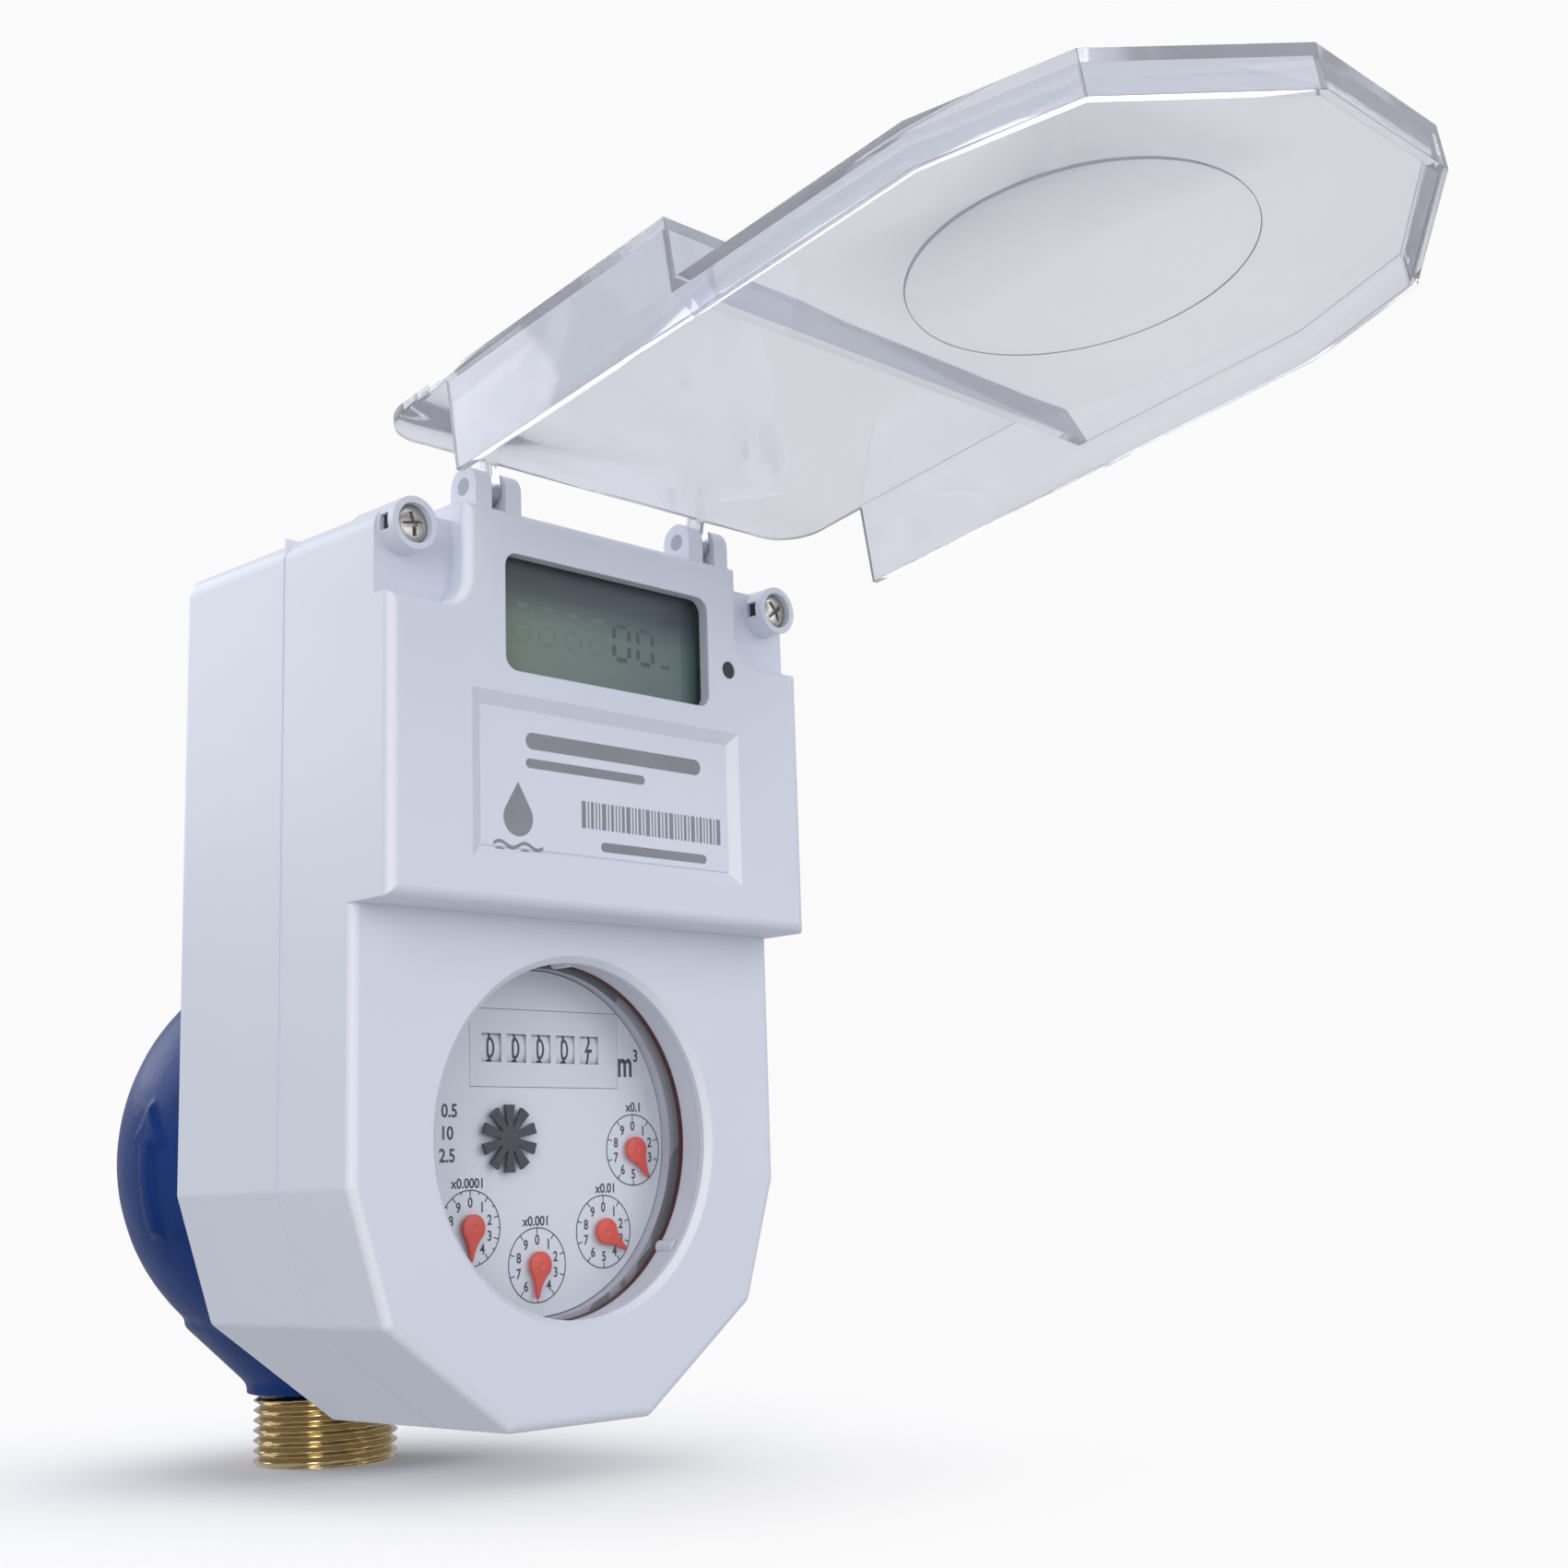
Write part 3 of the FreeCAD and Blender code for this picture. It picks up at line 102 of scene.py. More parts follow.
def vary_colour(tree, shader, low, high, scale):
    """Let a colour drift between two near shades."""
    cloud = object_noise(tree, scale)
    ramp = tree.nodes.new("ShaderNodeValToRGB")
    for element, position, colour in zip(ramp.color_ramp.elements, (0.3, 0.7), (low, high)):
        element.position = position
        element.color = (*colour, 1)
    tree.links.new(cloud.outputs["Fac"], ramp.inputs["Fac"])
    tree.links.new(ramp.outputs["Color"], shader.inputs["Base Color"])


def vary_roughness(tree, shader, low, high, scale):
    """Let the gloss drift between two values."""
    cloud = object_noise(tree, scale)
    span = add_node(tree, "ShaderNodeMapRange", To_Min=low, To_Max=high)
    tree.links.new(cloud.outputs["Fac"], span.inputs["Value"])
    tree.links.new(span.outputs["Result"], shader.inputs["Roughness"])


def grain(tree, shader, scale, depth, strength=1.0, detail=4.0):
    """A fine bump over the piece; depth in metres."""
    cloud = object_noise(tree, scale, detail)
    bump = add_node(tree, "ShaderNodeBump", Strength=strength, Distance=depth)
    tree.links.new(cloud.outputs["Fac"], bump.inputs["Height"])
    tree.links.new(bump.outputs["Normal"], shader.inputs["Normal"])
    return bump


def soften_edges(tree, bump, radius):
    """Shade the sharp edges as if they were slightly rounded; radius in metres."""
    rounding = add_node(tree, "ShaderNodeBevel", Radius=radius)
    rounding.samples = 4
    tree.links.new(rounding.outputs["Normal"], bump.inputs["Normal"])


# The product of a normal's X and Y, between a flat side, where it is 0, and the middle of a rounded
# edge, where it is 0.5; it sets where the painted highlight falls.
ROUND_STARTS = 0.10
ROUND_FULL = 0.42


def lighten_rounds(tree, shader, light):
    """Paint a highlight on two of the rounded upright edges, front left and back right: a lighter tint than the
    flat sides, where the light catches them.
    """
    normal = tree.nodes.new("ShaderNodeNewGeometry")
    split = tree.nodes.new("ShaderNodeSeparateXYZ")
    tree.links.new(normal.outputs["Normal"], split.inputs["Vector"])
    product = tree.nodes.new("ShaderNodeMath")
    product.operation = "MULTIPLY"
    tree.links.new(split.outputs["X"], product.inputs[0])
    tree.links.new(split.outputs["Y"], product.inputs[1])
    span = add_node(tree, "ShaderNodeMapRange", From_Min=ROUND_STARTS, From_Max=ROUND_FULL)
    tree.links.new(product.outputs["Value"], span.inputs["Value"])
    mix = tree.nodes.new("ShaderNodeMix")
    mix.data_type = "RGBA"
    tree.links.new(span.outputs["Result"], mix.inputs[0])
    tree.links.new(shader.inputs["Base Color"].links[0].from_socket, mix.inputs[6])
    mix.inputs[7].default_value = (*light, 1)
    tree.links.new(mix.outputs[2], shader.inputs["Base Color"])


def shade(base, factor):
    """A colour made lighter or darker."""
    return tuple(channel * factor for channel in base)


def plastic(name, colour, roughness=(0.3, 0.4), drift=0.03, grain_scale=2500, depth=0.00001, edges=0.0):
    """A moulded plastic with a slight drift of colour and gloss and a fine grain."""
    material, tree, shader = new_material(name)
    vary_colour(tree, shader, shade(colour, 1 - drift), shade(colour, 1 + drift), 45)
    vary_roughness(tree, shader, *roughness, 120)
    bump = grain(tree, shader, grain_scale, depth, 0.4)
    if edges:
        soften_edges(tree, bump, edges)
    return material


def metal(name, colour, roughness=(0.2, 0.35), drift=0.12, grain_scale=1800, depth=0.00002):
    """A bare metal with a slight drift of colour and gloss."""
    material, tree, shader = new_material(name)
    shader.inputs["Metallic"].default_value = 1.0
    vary_colour(tree, shader, shade(colour, 1 - drift), shade(colour, 1 + drift), 160)
    vary_roughness(tree, shader, *roughness, 420)
    grain(tree, shader, grain_scale, depth, 0.5)
    return material


CLEAR_IOR = 1.45


def hazy_clear(name, colour, transmission, roughness=(0.03, 0.07)):
    """A moulded clear plastic that still scatters some of the light."""
    material, tree, shader = new_material(name)
    vary_colour(tree, shader, shade(colour, 0.985), shade(colour, 1.01), 25)
    vary_roughness(tree, shader, *roughness, 90)
    grain(tree, shader, 260, 0.00001, 0.3, 2.0)
    shader.inputs["Transmission Weight"].default_value = transmission
    shader.inputs["IOR"].default_value = CLEAR_IOR
    return material


def pane(name, colour, cover):
    """A thin clear pane: mostly see-through, with a gloss of its own."""
    material, tree, shader = new_material(name)
    vary_colour(tree, shader, shade(colour, 0.95), shade(colour, 1.05), 60)
    vary_roughness(tree, shader, 0.02, 0.05, 200)
    shader.inputs["Alpha"].default_value = cover
    shader.inputs["Specular IOR Level"].default_value = 0.3
    return material


def blue_paint():
    """Blue enamel over rough casting: orange peel, slight mottling."""
    material, tree, shader = new_material("blue_paint")
    vary_colour(tree, shader, (0.006, 0.034, 0.165), (0.010, 0.046, 0.210), 130)
    vary_roughness(tree, shader, 0.28, 0.42, 260)
    grain(tree, shader, 520, 0.00016, 0.5, 4.0)
    shader.inputs["Specular IOR Level"].default_value = 0.10
    return material


# Colours of the display from left to right, and the painted shadow laid over them from bottom to top.
DISPLAY_ACROSS = (
    (0.0, (0.200, 0.260, 0.180)),
    (0.45, (0.190, 0.260, 0.225)),
    (0.80, (0.140, 0.205, 0.200)),
    (0.915, (0.125, 0.185, 0.180)),
    (0.925, (0.055, 0.125, 0.110)),
    (1.0, (0.045, 0.100, 0.090)),
)
DISPLAY_PAINTED_SHADOW = (
    (0.0, (1.0, 1.0, 1.0)),
    (0.50, (1.0, 1.0, 1.0)),
    (0.76, (0.32, 0.33, 0.45)),
    (1.0, (0.12, 0.14, 0.22)),
)


def lcd_glass():
    """Liquid crystal glass: grey-green, with a darker strip at its right end and a painted shadow along its upper
    edge.
    """
    material, tree, shader = new_material("lcd_glass")
    coords = tree.nodes.new("ShaderNodeTexCoord")
    split = tree.nodes.new("ShaderNodeSeparateXYZ")
    tree.links.new(coords.outputs["Object"], split.inputs["Vector"])
    low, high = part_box("lcd_module")
    ramps = []
    for axis, start, end, stops in (("X", low.x, high.x, DISPLAY_ACROSS), ("Z", low.z, high.z, DISPLAY_PAINTED_SHADOW)):
        span = add_node(tree, "ShaderNodeMapRange", From_Min=start, From_Max=end)
        tree.links.new(split.outputs[axis], span.inputs["Value"])
        ramp = tree.nodes.new("ShaderNodeValToRGB")
        elements = ramp.color_ramp.elements
        while len(elements) < len(stops):
            elements.new(0.5)
        for element, (position, colour) in zip(elements, stops):
            element.position = position
            element.color = (*colour, 1)
        tree.links.new(span.outputs["Result"], ramp.inputs["Fac"])
        ramps.append(ramp)
    # Multiply the colours across by the painted shadow, darkest at the top.
    mix = tree.nodes.new("ShaderNodeMix")
    mix.data_type = "RGBA"
    mix.blend_type = "MULTIPLY"
    mix.inputs[0].default_value = 1.0
    tree.links.new(ramps[0].outputs["Color"], mix.inputs[6])
    tree.links.new(ramps[1].outputs["Color"], mix.inputs[7])
    tree.links.new(mix.outputs[2], shader.inputs["Base Color"])
    vary_roughness(tree, shader, 0.3, 0.4, 300)
    grain(tree, shader, 9000, 0.000004, 0.3)
    return material


ABS = (0.76, 0.79, 0.87)
# The next colour is the painted highlight for the white plastic's rounded upright edges.
ABS_PAINTED_HIGHLIGHT = (0.95, 0.96, 0.99)
DIAL = (0.80, 0.84, 0.90)


def make_materials():
    """Every material of the meter by name; most are the record's slots."""
    return {
        "white_abs": plastic("white_abs", ABS, (0.30, 0.38), 0.004, 1800, 0.000008, 0.00025),
        "clear_plastic": hazy_clear("clear_plastic", (0.84, 0.855, 0.91), 0.82),
        "clear_glass": pane("clear_glass", (0.55, 0.58, 0.62), 0.03),
        "lcd_pane": pane("lcd_pane", (0.30, 0.34, 0.36), 0.06),
        "dark_lens": plastic("dark_lens", (0.025, 0.04, 0.042), (0.08, 0.14), 0.2),
        "label_film": plastic("label_film", shade(ABS, 1.02), (0.35, 0.42), 0.004),
        "grey_plastic": plastic("grey_plastic", (0.42, 0.42, 0.49), (0.35, 0.45), 0.04),
        "case_grey": plastic("case_grey", (0.56, 0.56, 0.62), (0.30, 0.40), 0.02),
        "ring_grey": plastic("ring_grey", (0.70, 0.71, 0.77), (0.30, 0.40), 0.02),
        # clear_edge is painted shade: a grey that stands in for the darkening along the clear lid's rims and
        # edges.
        "clear_edge": hazy_clear("clear_edge", (0.20, 0.205, 0.225), 0.25, (0.3, 0.4)),
        "pin_grey": plastic("pin_grey", (0.40, 0.42, 0.50), (0.30, 0.40), 0.04),
        "white_plastic": plastic("white_plastic", (0.75, 0.76, 0.80)),
        "black_plastic": plastic("black_plastic", (0.028, 0.028, 0.03), drift=0.2),
        "dial_white": plastic("dial_white", DIAL, (0.4, 0.5), 0.008),
        "drum_white": plastic("drum_white", (0.80, 0.83, 0.89), (0.4, 0.5), 0.008),
        "mask_grey": plastic("mask_grey", shade(DIAL, 0.95), (0.25, 0.35), 0.008),
        "pointer_red": plastic("pointer_red", (0.82, 0.085, 0.055), (0.3, 0.4), 0.05, edges=0.0001),
        "star_black": plastic("star_black", (0.028, 0.034, 0.048), (0.3, 0.4), 0.15, edges=0.0001),
        "dark_rubber": plastic("dark_rubber", (0.028, 0.028, 0.031), (0.6, 0.75), 0.15, 1500),
        # The seam's rubber is lighter than the housing: painted light, so that the seam, which falls in shade,
        # shows as a thin light line.
        "seam_rubber": plastic("seam_rubber", shade(ABS, 1.12), (0.6, 0.75), 0.02, 1500),
        "brown_rubber": plastic("brown_rubber", (0.085, 0.022, 0.030), (0.5, 0.6), 0.15),
        "nickel_steel": metal("nickel_steel", (0.56, 0.54, 0.50), (0.20, 0.34)),
        "stainless": metal("stainless", (0.55, 0.55, 0.55)),
        "magnet": metal("magnet", (0.12, 0.12, 0.13), (0.4, 0.5)),
        "chrome_ball": metal("chrome_ball", (0.78, 0.78, 0.79), (0.05, 0.08), 0.03),
        "brass": metal("brass", (0.56, 0.45, 0.26), (0.13, 0.22), 0.04, 900, 0.000004),
        "board_green": plastic("board_green", (0.013, 0.115, 0.047), drift=0.12),
        "cell_sleeve": plastic("cell_sleeve", (0.045, 0.22, 0.11), drift=0.1),
        "print_grey": plastic("print_grey", (0.27, 0.275, 0.30), (0.45, 0.55), 0.08, 9000),
        "print_black": plastic("print_black", (0.05, 0.056, 0.075), (0.45, 0.55), 0.15),
        "lcd_segment": plastic("lcd_segment", (0.062, 0.092, 0.086), (0.3, 0.4), 0.08),
        "lcd_ghost": plastic("lcd_ghost", (0.165, 0.225, 0.178), (0.3, 0.4), 0.05),
        "blue_paint": blue_paint(),
        "lcd_glass": lcd_glass(),
    }


MATERIALS = make_materials()
ABS_TREE = MATERIALS["white_abs"].node_tree
# The white plastic gets a painted highlight on its rounded upright edges.
lighten_rounds(ABS_TREE, ABS_TREE.nodes["Principled BSDF"], ABS_PAINTED_HIGHLIGHT)

# CAD nodes whose look is finer than their record slot says.
SPECIAL = {"hinge_pins": "pin_grey", "bezel_ring": "ring_grey", "register_case": "case_grey"}


def dress_cad_nodes():
    """Every carried-over CAD node takes the material of its record slot."""
    slots = {part["node"]: part["material_slot"] for part in frame["record"]["subparts"]}
    for name, node in NODES.items():
        look = SPECIAL.get(name, slots[name])
        material = MATERIALS.get(look, MATERIALS["blue_paint"])
        if not node.material_slots:
            node.data.materials.append(material)
        for slot in node.material_slots:
            slot.material = material


# ---------------------------------------------------------------- mesh tools

def add_piece(name, bm, look, body, sharp=35.0):
    """Turn a finished mesh into a piece that rides on a body; angles over sharp stay crisp."""
    bmesh.ops.recalc_face_normals(bm, faces=bm.faces[:])
    mesh = bpy.data.meshes.new(name)
    bm.to_mesh(mesh)
    bm.free()
    for polygon in mesh.polygons:
        polygon.use_smooth = True
    mesh.set_sharp_from_angle(angle=math.radians(sharp))
    mesh.materials.append(MATERIALS[look])
    piece = bpy.data.objects.new(name, mesh)
    bpy.context.scene.collection.objects.link(piece)
    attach(piece, body)
    return piece


def stamp(target, source, place=Matrix.Identity(4)):
    """Add one mesh to another in its place, and drop the first."""
    source.transform(place)
    spare = bpy.data.meshes.new("spare")
    source.to_mesh(spare)
    source.free()
    target.from_mesh(spare)
    bpy.data.meshes.remove(spare)


def evaluated(mesh, *modifiers):
    """A mesh after some modifiers, each given as (type, settings)."""
    holder = bpy.data.objects.new("holder", mesh)
    bpy.context.scene.collection.objects.link(holder)
    for kind, settings in modifiers:
        modifier = holder.modifiers.new(kind, kind)
        for name, value in settings.items():
            setattr(modifier, name, value)
    bpy.context.view_layer.update()
    graph = bpy.context.evaluated_depsgraph_get()
    result = bpy.data.meshes.new_from_object(holder.evaluated_get(graph))
    bpy.data.objects.remove(holder)
    return result


def polygon(corners):
    """A flat sheet with one outline, in millimetres."""
    bm = bmesh.new()
    bm.faces.new([bm.verts.new((x, y, 0)) for x, y in corners])
    return bm


def bar(low_x, low_y, high_x, high_y):
    """A flat rectangle."""
    return polygon([(low_x, low_y), (high_x, low_y), (high_x, high_y), (low_x, high_y)])


def stroke(start, end, width):
    """A straight flat line of some width."""
    along = (Vector(end) - Vector(start)).normalized() * width / 2
    side = Vector((-along.y, along.x))
    start, end = Vector(start), Vector(end)
    return polygon([tuple(start - side), tuple(end - side), tuple(end + side), tuple(start + side)])


def annulus(inner, outer, steps=96):
    """A flat ring."""
    bm = bmesh.new()
    rims = [[bm.verts.new((radius * math.cos(turn), radius * math.sin(turn), 0))
             for turn in (2 * math.pi * step / steps for step in range(steps))]
            for radius in (inner, outer)]
    for step in range(steps):
        following = (step + 1) % steps
        bm.faces.new((rims[0][step], rims[1][step], rims[1][following], rims[0][following]))
    return bm


def rounded_bar(low_x, low_y, high_x, high_y):
    """A flat bar with round ends."""
    radius = (high_y - low_y) / 2
    middle = (low_y + high_y) / 2
    corners = []
    for centre, first in ((high_x - radius, -90), (low_x + radius, 90)):
        for step in range(13):
            turn = math.radians(first + 15 * step)
            corners.append((centre + radius * math.cos(turn), middle + radius * math.sin(turn)))
    return polygon(corners)


def lettering(text, height, squeeze=0.86, weight=0.022):
    """Flat figures of a given height, centred on the origin; weight thickens their strokes."""
    curve = bpy.data.curves.new("lettering", "FONT")
    curve.body = text
    curve.offset = weight
    holder = bpy.data.objects.new("lettering", curve)
    bpy.context.scene.collection.objects.link(holder)
    bpy.context.view_layer.update()
    graph = bpy.context.evaluated_depsgraph_get()
    mesh = bpy.data.meshes.new_from_object(holder.evaluated_get(graph))
    bpy.data.objects.remove(holder)
    bm = bmesh.new()
    bm.from_mesh(mesh)
    bpy.data.meshes.remove(mesh)
    across = [vert.co.x for vert in bm.verts]
    up = [vert.co.y for vert in bm.verts]
    centre = Vector(((min(across) + max(across)) / 2, (min(up) + max(up)) / 2, 0))
    scale = height / (max(up) - min(up))
    bm.transform(Matrix.Diagonal((scale * squeeze, scale, scale, 1)) @ Matrix.Translation(-centre))
    bmesh.ops.remove_doubles(bm, verts=bm.verts[:], dist=height * 1e-4)
    return bm


def at(x, y):
    """A place on the sheet, in millimetres."""
    return Matrix.Translation((x, y, 0))


def thicken(bm, depth):
    """Raise a flat sheet into a closed plate of some depth, upwards from the sheet."""
    bmesh.ops.recalc_face_normals(bm, faces=bm.faces[:])
    for item in bm.faces:
        if item.normal.z < 0:
            item.normal_flip()
    raised = bmesh.ops.extrude_face_region(bm, geom=bm.faces[:])["geom"]
    moved = [item for item in raised if isinstance(item, bmesh.types.BMVert)]
    bmesh.ops.translate(bm, verts=moved, vec=(0, 0, depth))


def lathe(corners, steps=128, closed=True):
    """A profile of (radius, height) corners turned about Z."""
    bm = bmesh.new()
    rows = [[bm.verts.new((radius * math.cos(turn), radius * math.sin(turn), height))
             for turn in (2 * math.pi * step / steps for step in range(steps))]
            for radius, height in corners]
    last = len(rows) if closed else len(rows) - 1
    for index in range(last):
        low, high = rows[index], rows[(index + 1) % len(rows)]
        for step in range(steps):
            following = (step + 1) % steps
            bm.faces.new((low[step], low[following], high[following], high[step]))
    return bm


# ---------------------------------------------------------------- dial and counter

PRINT_DEPTH = 0.03

# Sub-dials: joint, figures above it, where they stand, how many marks round the circle.
SUB_DIALS = (
    ("pointer_tenths_spin", "x0.1", (22.5, 6.0), 10),
    ("pointer_hundredths_spin", "x0.01", (15.5, -8.2), 10),
    ("pointer_thousandths_spin", "x0.001", (-0.4, -13.4), 10),
    ("pointer_ten_thousandths_spin", "x0.0001", (-15.0, -6.8), 20),
)
SUB_DIAL_RADIUS = 6.35
LINE_WIDTH = 0.2
LONG_MARK = 1.1
SHORT_MARK = 0.6
FIGURE_RADIUS = 4.25
FIGURE_HEIGHT = 1.75
TITLE_HEIGHT = 1.7
TITLE_SQUEEZE = 0.95

# Single figures and letters: text, height, squeeze, place.
LONE_PRINTS = (
    ("m", 3.3, 0.72, (20.8, 13.0)),
    ("3", 2.3, 0.78, (23.4, 15.2)),
    ("0.5", 2.3, 0.9, (-18.6, 5.2)),
    ("10", 2.3, 0.9, (-18.9, 1.5)),
    ("2.5", 2.3, 0.9, (-19.1, -2.2)),
)
SPOT_RADIUS = 0.95
SPOT_PLACE = (26.2, 8.6)


def sheet_spot(joint):
    """Where a joint of the dial stands on the face, in millimetres."""
    spot = Vector(JOINTS[joint]["pos_m"]) - FACE
    return spot.x / MM, spot.z / MM


def clock(radius, turn):
    """A point at some degrees clockwise from the top."""
    return radius * math.sin(math.radians(turn)), radius * math.cos(math.radians(turn))


def dial_print():
    """Circles, marks and figures of the four sub-dials, the unit, and three numbers at the left."""
    bm = bmesh.new()
    for joint, title, title_spot, marks in SUB_DIALS:
        x, y = sheet_spot(joint)
        stamp(bm, annulus(SUB_DIAL_RADIUS - LINE_WIDTH, SUB_DIAL_RADIUS), at(x, y))
        for mark in range(marks):
            turn = 360 * mark / marks
            major = mark % (marks // 10) == 0
            inner = clock(SUB_DIAL_RADIUS - (LONG_MARK if major else SHORT_MARK), turn)
            outer = clock(SUB_DIAL_RADIUS - LINE_WIDTH / 2, turn)
            stamp(bm, stroke(inner, outer, LINE_WIDTH), at(x, y))
        for figure in range(10):
            across, up = clock(FIGURE_RADIUS, 36 * figure)
            stamp(bm, lettering(str(figure), FIGURE_HEIGHT), at(x + across, y + up))
        stamp(bm, lettering(title, TITLE_HEIGHT, TITLE_SQUEEZE), at(*title_spot))
    for text, height, squeeze, spot in LONE_PRINTS:
        stamp(bm, lettering(text, height, squeeze), at(*spot))
    thicken(bm, PRINT_DEPTH)
    bm.transform(face_place(z=face_level("dial_plate")))
    add_piece("dial_print", bm, "print_black", "housing")


def dial_spot():
    """A plain grey spot to the right of the counter."""
    bm = bmesh.new()
    stamp(bm, polygon([clock(SPOT_RADIUS, 15 * step) for step in range(24)]), at(*SPOT_PLACE))
    thicken(bm, PRINT_DEPTH)
    bm.transform(face_place(z=face_level("dial_plate")))
    add_piece("dial_spot", bm, "mask_grey", "housing")


# The counter window's left, right, bottom and top edges.
COUNTER_WINDOW = (-14.2, 18.9, 9.3, 22.5)
SLOT_HALF_WIDTH = 2.15
SLOT_HALF_HEIGHT = 2.45
MASK_DEPTH = 0.14
MASK_SUNK = 0.02


def drum_centres():
    """Each drum's centre across the face, in millimetres, by its node."""
    found = {}
    for name in sorted(node for node in NODES if node.startswith("number_drum")):
        low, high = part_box(name)
        found[name] = ((low.x + high.x) / 2 - FACE.x) / MM
    return found


def counter_mask():
    """The plate in the counter window, with a slot for each drum."""
    left, right, bottom, top = COUNTER_WINDOW
    row = sheet_spot("number_drum_1_turn")[1]
    edges_x = [left, right]
    for centre in drum_centres().values():
        edges_x += [centre - SLOT_HALF_WIDTH, centre + SLOT_HALF_WIDTH]
    edges_x.sort()
    edges_y = [bottom, row - SLOT_HALF_HEIGHT, row + SLOT_HALF_HEIGHT, top]
    bm = bmesh.new()
    grid = [[bm.verts.new((x, y, 0)) for x in edges_x] for y in edges_y]
    for line in range(3):
        for column in range(len(edges_x) - 1):
            if line == 1 and column % 2 == 1:
                continue
            low, high = grid[line], grid[line + 1]
            bm.faces.new((low[column], low[column + 1], high[column + 1], high[column]))
    thicken(bm, MASK_DEPTH)
    bm.transform(face_place(z=face_level("dial_plate") - MASK_DEPTH - MASK_SUNK))
    add_piece("counter_mask", bm, "mask_grey", "housing", 30)


# How far each drum has turned from its zero at rest, in figures.
READING = (0.0, 0.0, 0.0, 0.0, 1.6)
DRUM_FIGURE = {"height": 3.8, "squeeze": 0.72, "weight": 0.012}
BEND_LINES = 4
BEND_STEP = 0.4


def drum_figures():
    """The figures 0 to 9 round every number drum."""
    for (name, centre), reading in zip(drum_centres().items(), READING):
        low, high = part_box(name)
        radius = (high.z - low.z) / 2 / MM
        axis_level = face_level(name) - radius
        row = ((low.z + high.z) / 2 - FACE.z) / MM
        bm = bmesh.new()
        for figure in range(10):
            flat = lettering(str(figure), **DRUM_FIGURE)
            for line in range(-BEND_LINES, BEND_LINES + 1):
                bmesh.ops.bisect_plane(flat, geom=flat.verts[:] + flat.edges[:] + flat.faces[:],
                                       plane_co=(0, line * BEND_STEP, 0), plane_no=(0, 1, 0))
            lift = radius + PRINT_DEPTH
            for vert in flat.verts:
                turn = vert.co.y / radius + math.radians(36 * (figure - reading))
                vert.co = Vector((vert.co.x, lift * math.sin(turn), lift * math.cos(turn)))
            stamp(bm, flat)
        bm.transform(face_place(centre, row, axis_level))
        add_piece(f"{name}_figures", bm, "print_black", name)


# Where each pointer stands at rest, in degrees clockwise from the top.
POINTER_TURNS = {
    "pointer_tenths": 150.0,
    "pointer_hundredths": 126.0,
    "pointer_thousandths": 188.0,
    "pointer_ten_thousandths": 186.0,
}
HUB_RADIUS = 2.3
HUB_ARC = range(40, 321, 10)
TIP_SIDE = ((-0.85, 3.0), (-0.62, 3.6), (-0.24, 5.55))
POINTER_PLATE = 0.65
POINTER_EDGE = 0.16
POINTER_THICKNESS = 0.8
SHAFT_RADIUS = 0.8
SHAFT_TOP = 0.3
# The axis keeps this radius, so that the turned shapes close without a doubled point.
AXIS = 0.001
HUB_DOME = ((AXIS, 0.55), (0.55, 0.72), (0.75, 0.76), (0.95, 0.74), (1.5, 0.64), (1.5, 0.4), (AXIS, 0.4))


def pointers():
    """Red pointers: a domed disc that narrows to a long tip, on a thin shaft."""
    for name, turn in POINTER_TURNS.items():
        outline = [clock(HUB_RADIUS, angle) for angle in HUB_ARC] + list(TIP_SIDE)
        outline += [(-x, y) for x, y in reversed(TIP_SIDE)]
        bm = polygon(outline)
        thicken(bm, POINTER_PLATE)
        top = [edge for edge in bm.edges if all(vert.co.z > POINTER_PLATE / 2 for vert in edge.verts)]
        bmesh.ops.bevel(bm, geom=top, offset=POINTER_EDGE, segments=3, affect="EDGES", profile=0.5)
        stamp(bm, lathe(HUB_DOME, 40))
        low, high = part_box(name)
        front = (FACE.y - low.y) / MM
        depth = (high.y - low.y) / MM
        foot = POINTER_THICKNESS - depth
        shaft = [(AXIS, SHAFT_TOP), (SHAFT_RADIUS, SHAFT_TOP), (SHAFT_RADIUS, foot), (AXIS, foot)]
        stamp(bm, lathe(shaft, 32))
        x, y = sheet_spot(f"{name}_spin")
        turned = Matrix.Rotation(math.radians(-turn), 4, "Z")
        bm.transform(face_place(x, y, front - POINTER_THICKNESS) @ turned)
        piece = add_piece(name + "_red", bm, "pointer_red", name, 40)
        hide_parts(name)


# ---------------------------------------------------------------- display and label

DISPLAY_ROW = 85.6
SEGMENT_WIDTH = 0.85
FIGURE_HALF_WIDTH = 1.75
FIGURE_HALF_HEIGHT = 3.05
BAR_HALF_WIDTH = 1.2
LAST_SEGMENT = (14.6, 82.5, 16.6, 83.1)


def segment_zero():
    """A seven-segment zero: six strokes with small gaps."""
    bm = bmesh.new()
    gap = SEGMENT_WIDTH * 0.7
    for x in (-FIGURE_HALF_WIDTH, FIGURE_HALF_WIDTH):
        stamp(bm, stroke((x, gap), (x, FIGURE_HALF_HEIGHT - gap), SEGMENT_WIDTH))
        stamp(bm, stroke((x, -gap), (x, gap - FIGURE_HALF_HEIGHT), SEGMENT_WIDTH))
    for y in (-FIGURE_HALF_HEIGHT, FIGURE_HALF_HEIGHT):
        stamp(bm, stroke((gap - FIGURE_HALF_WIDTH, y), (FIGURE_HALF_WIDTH - gap, y), SEGMENT_WIDTH))
    return bm


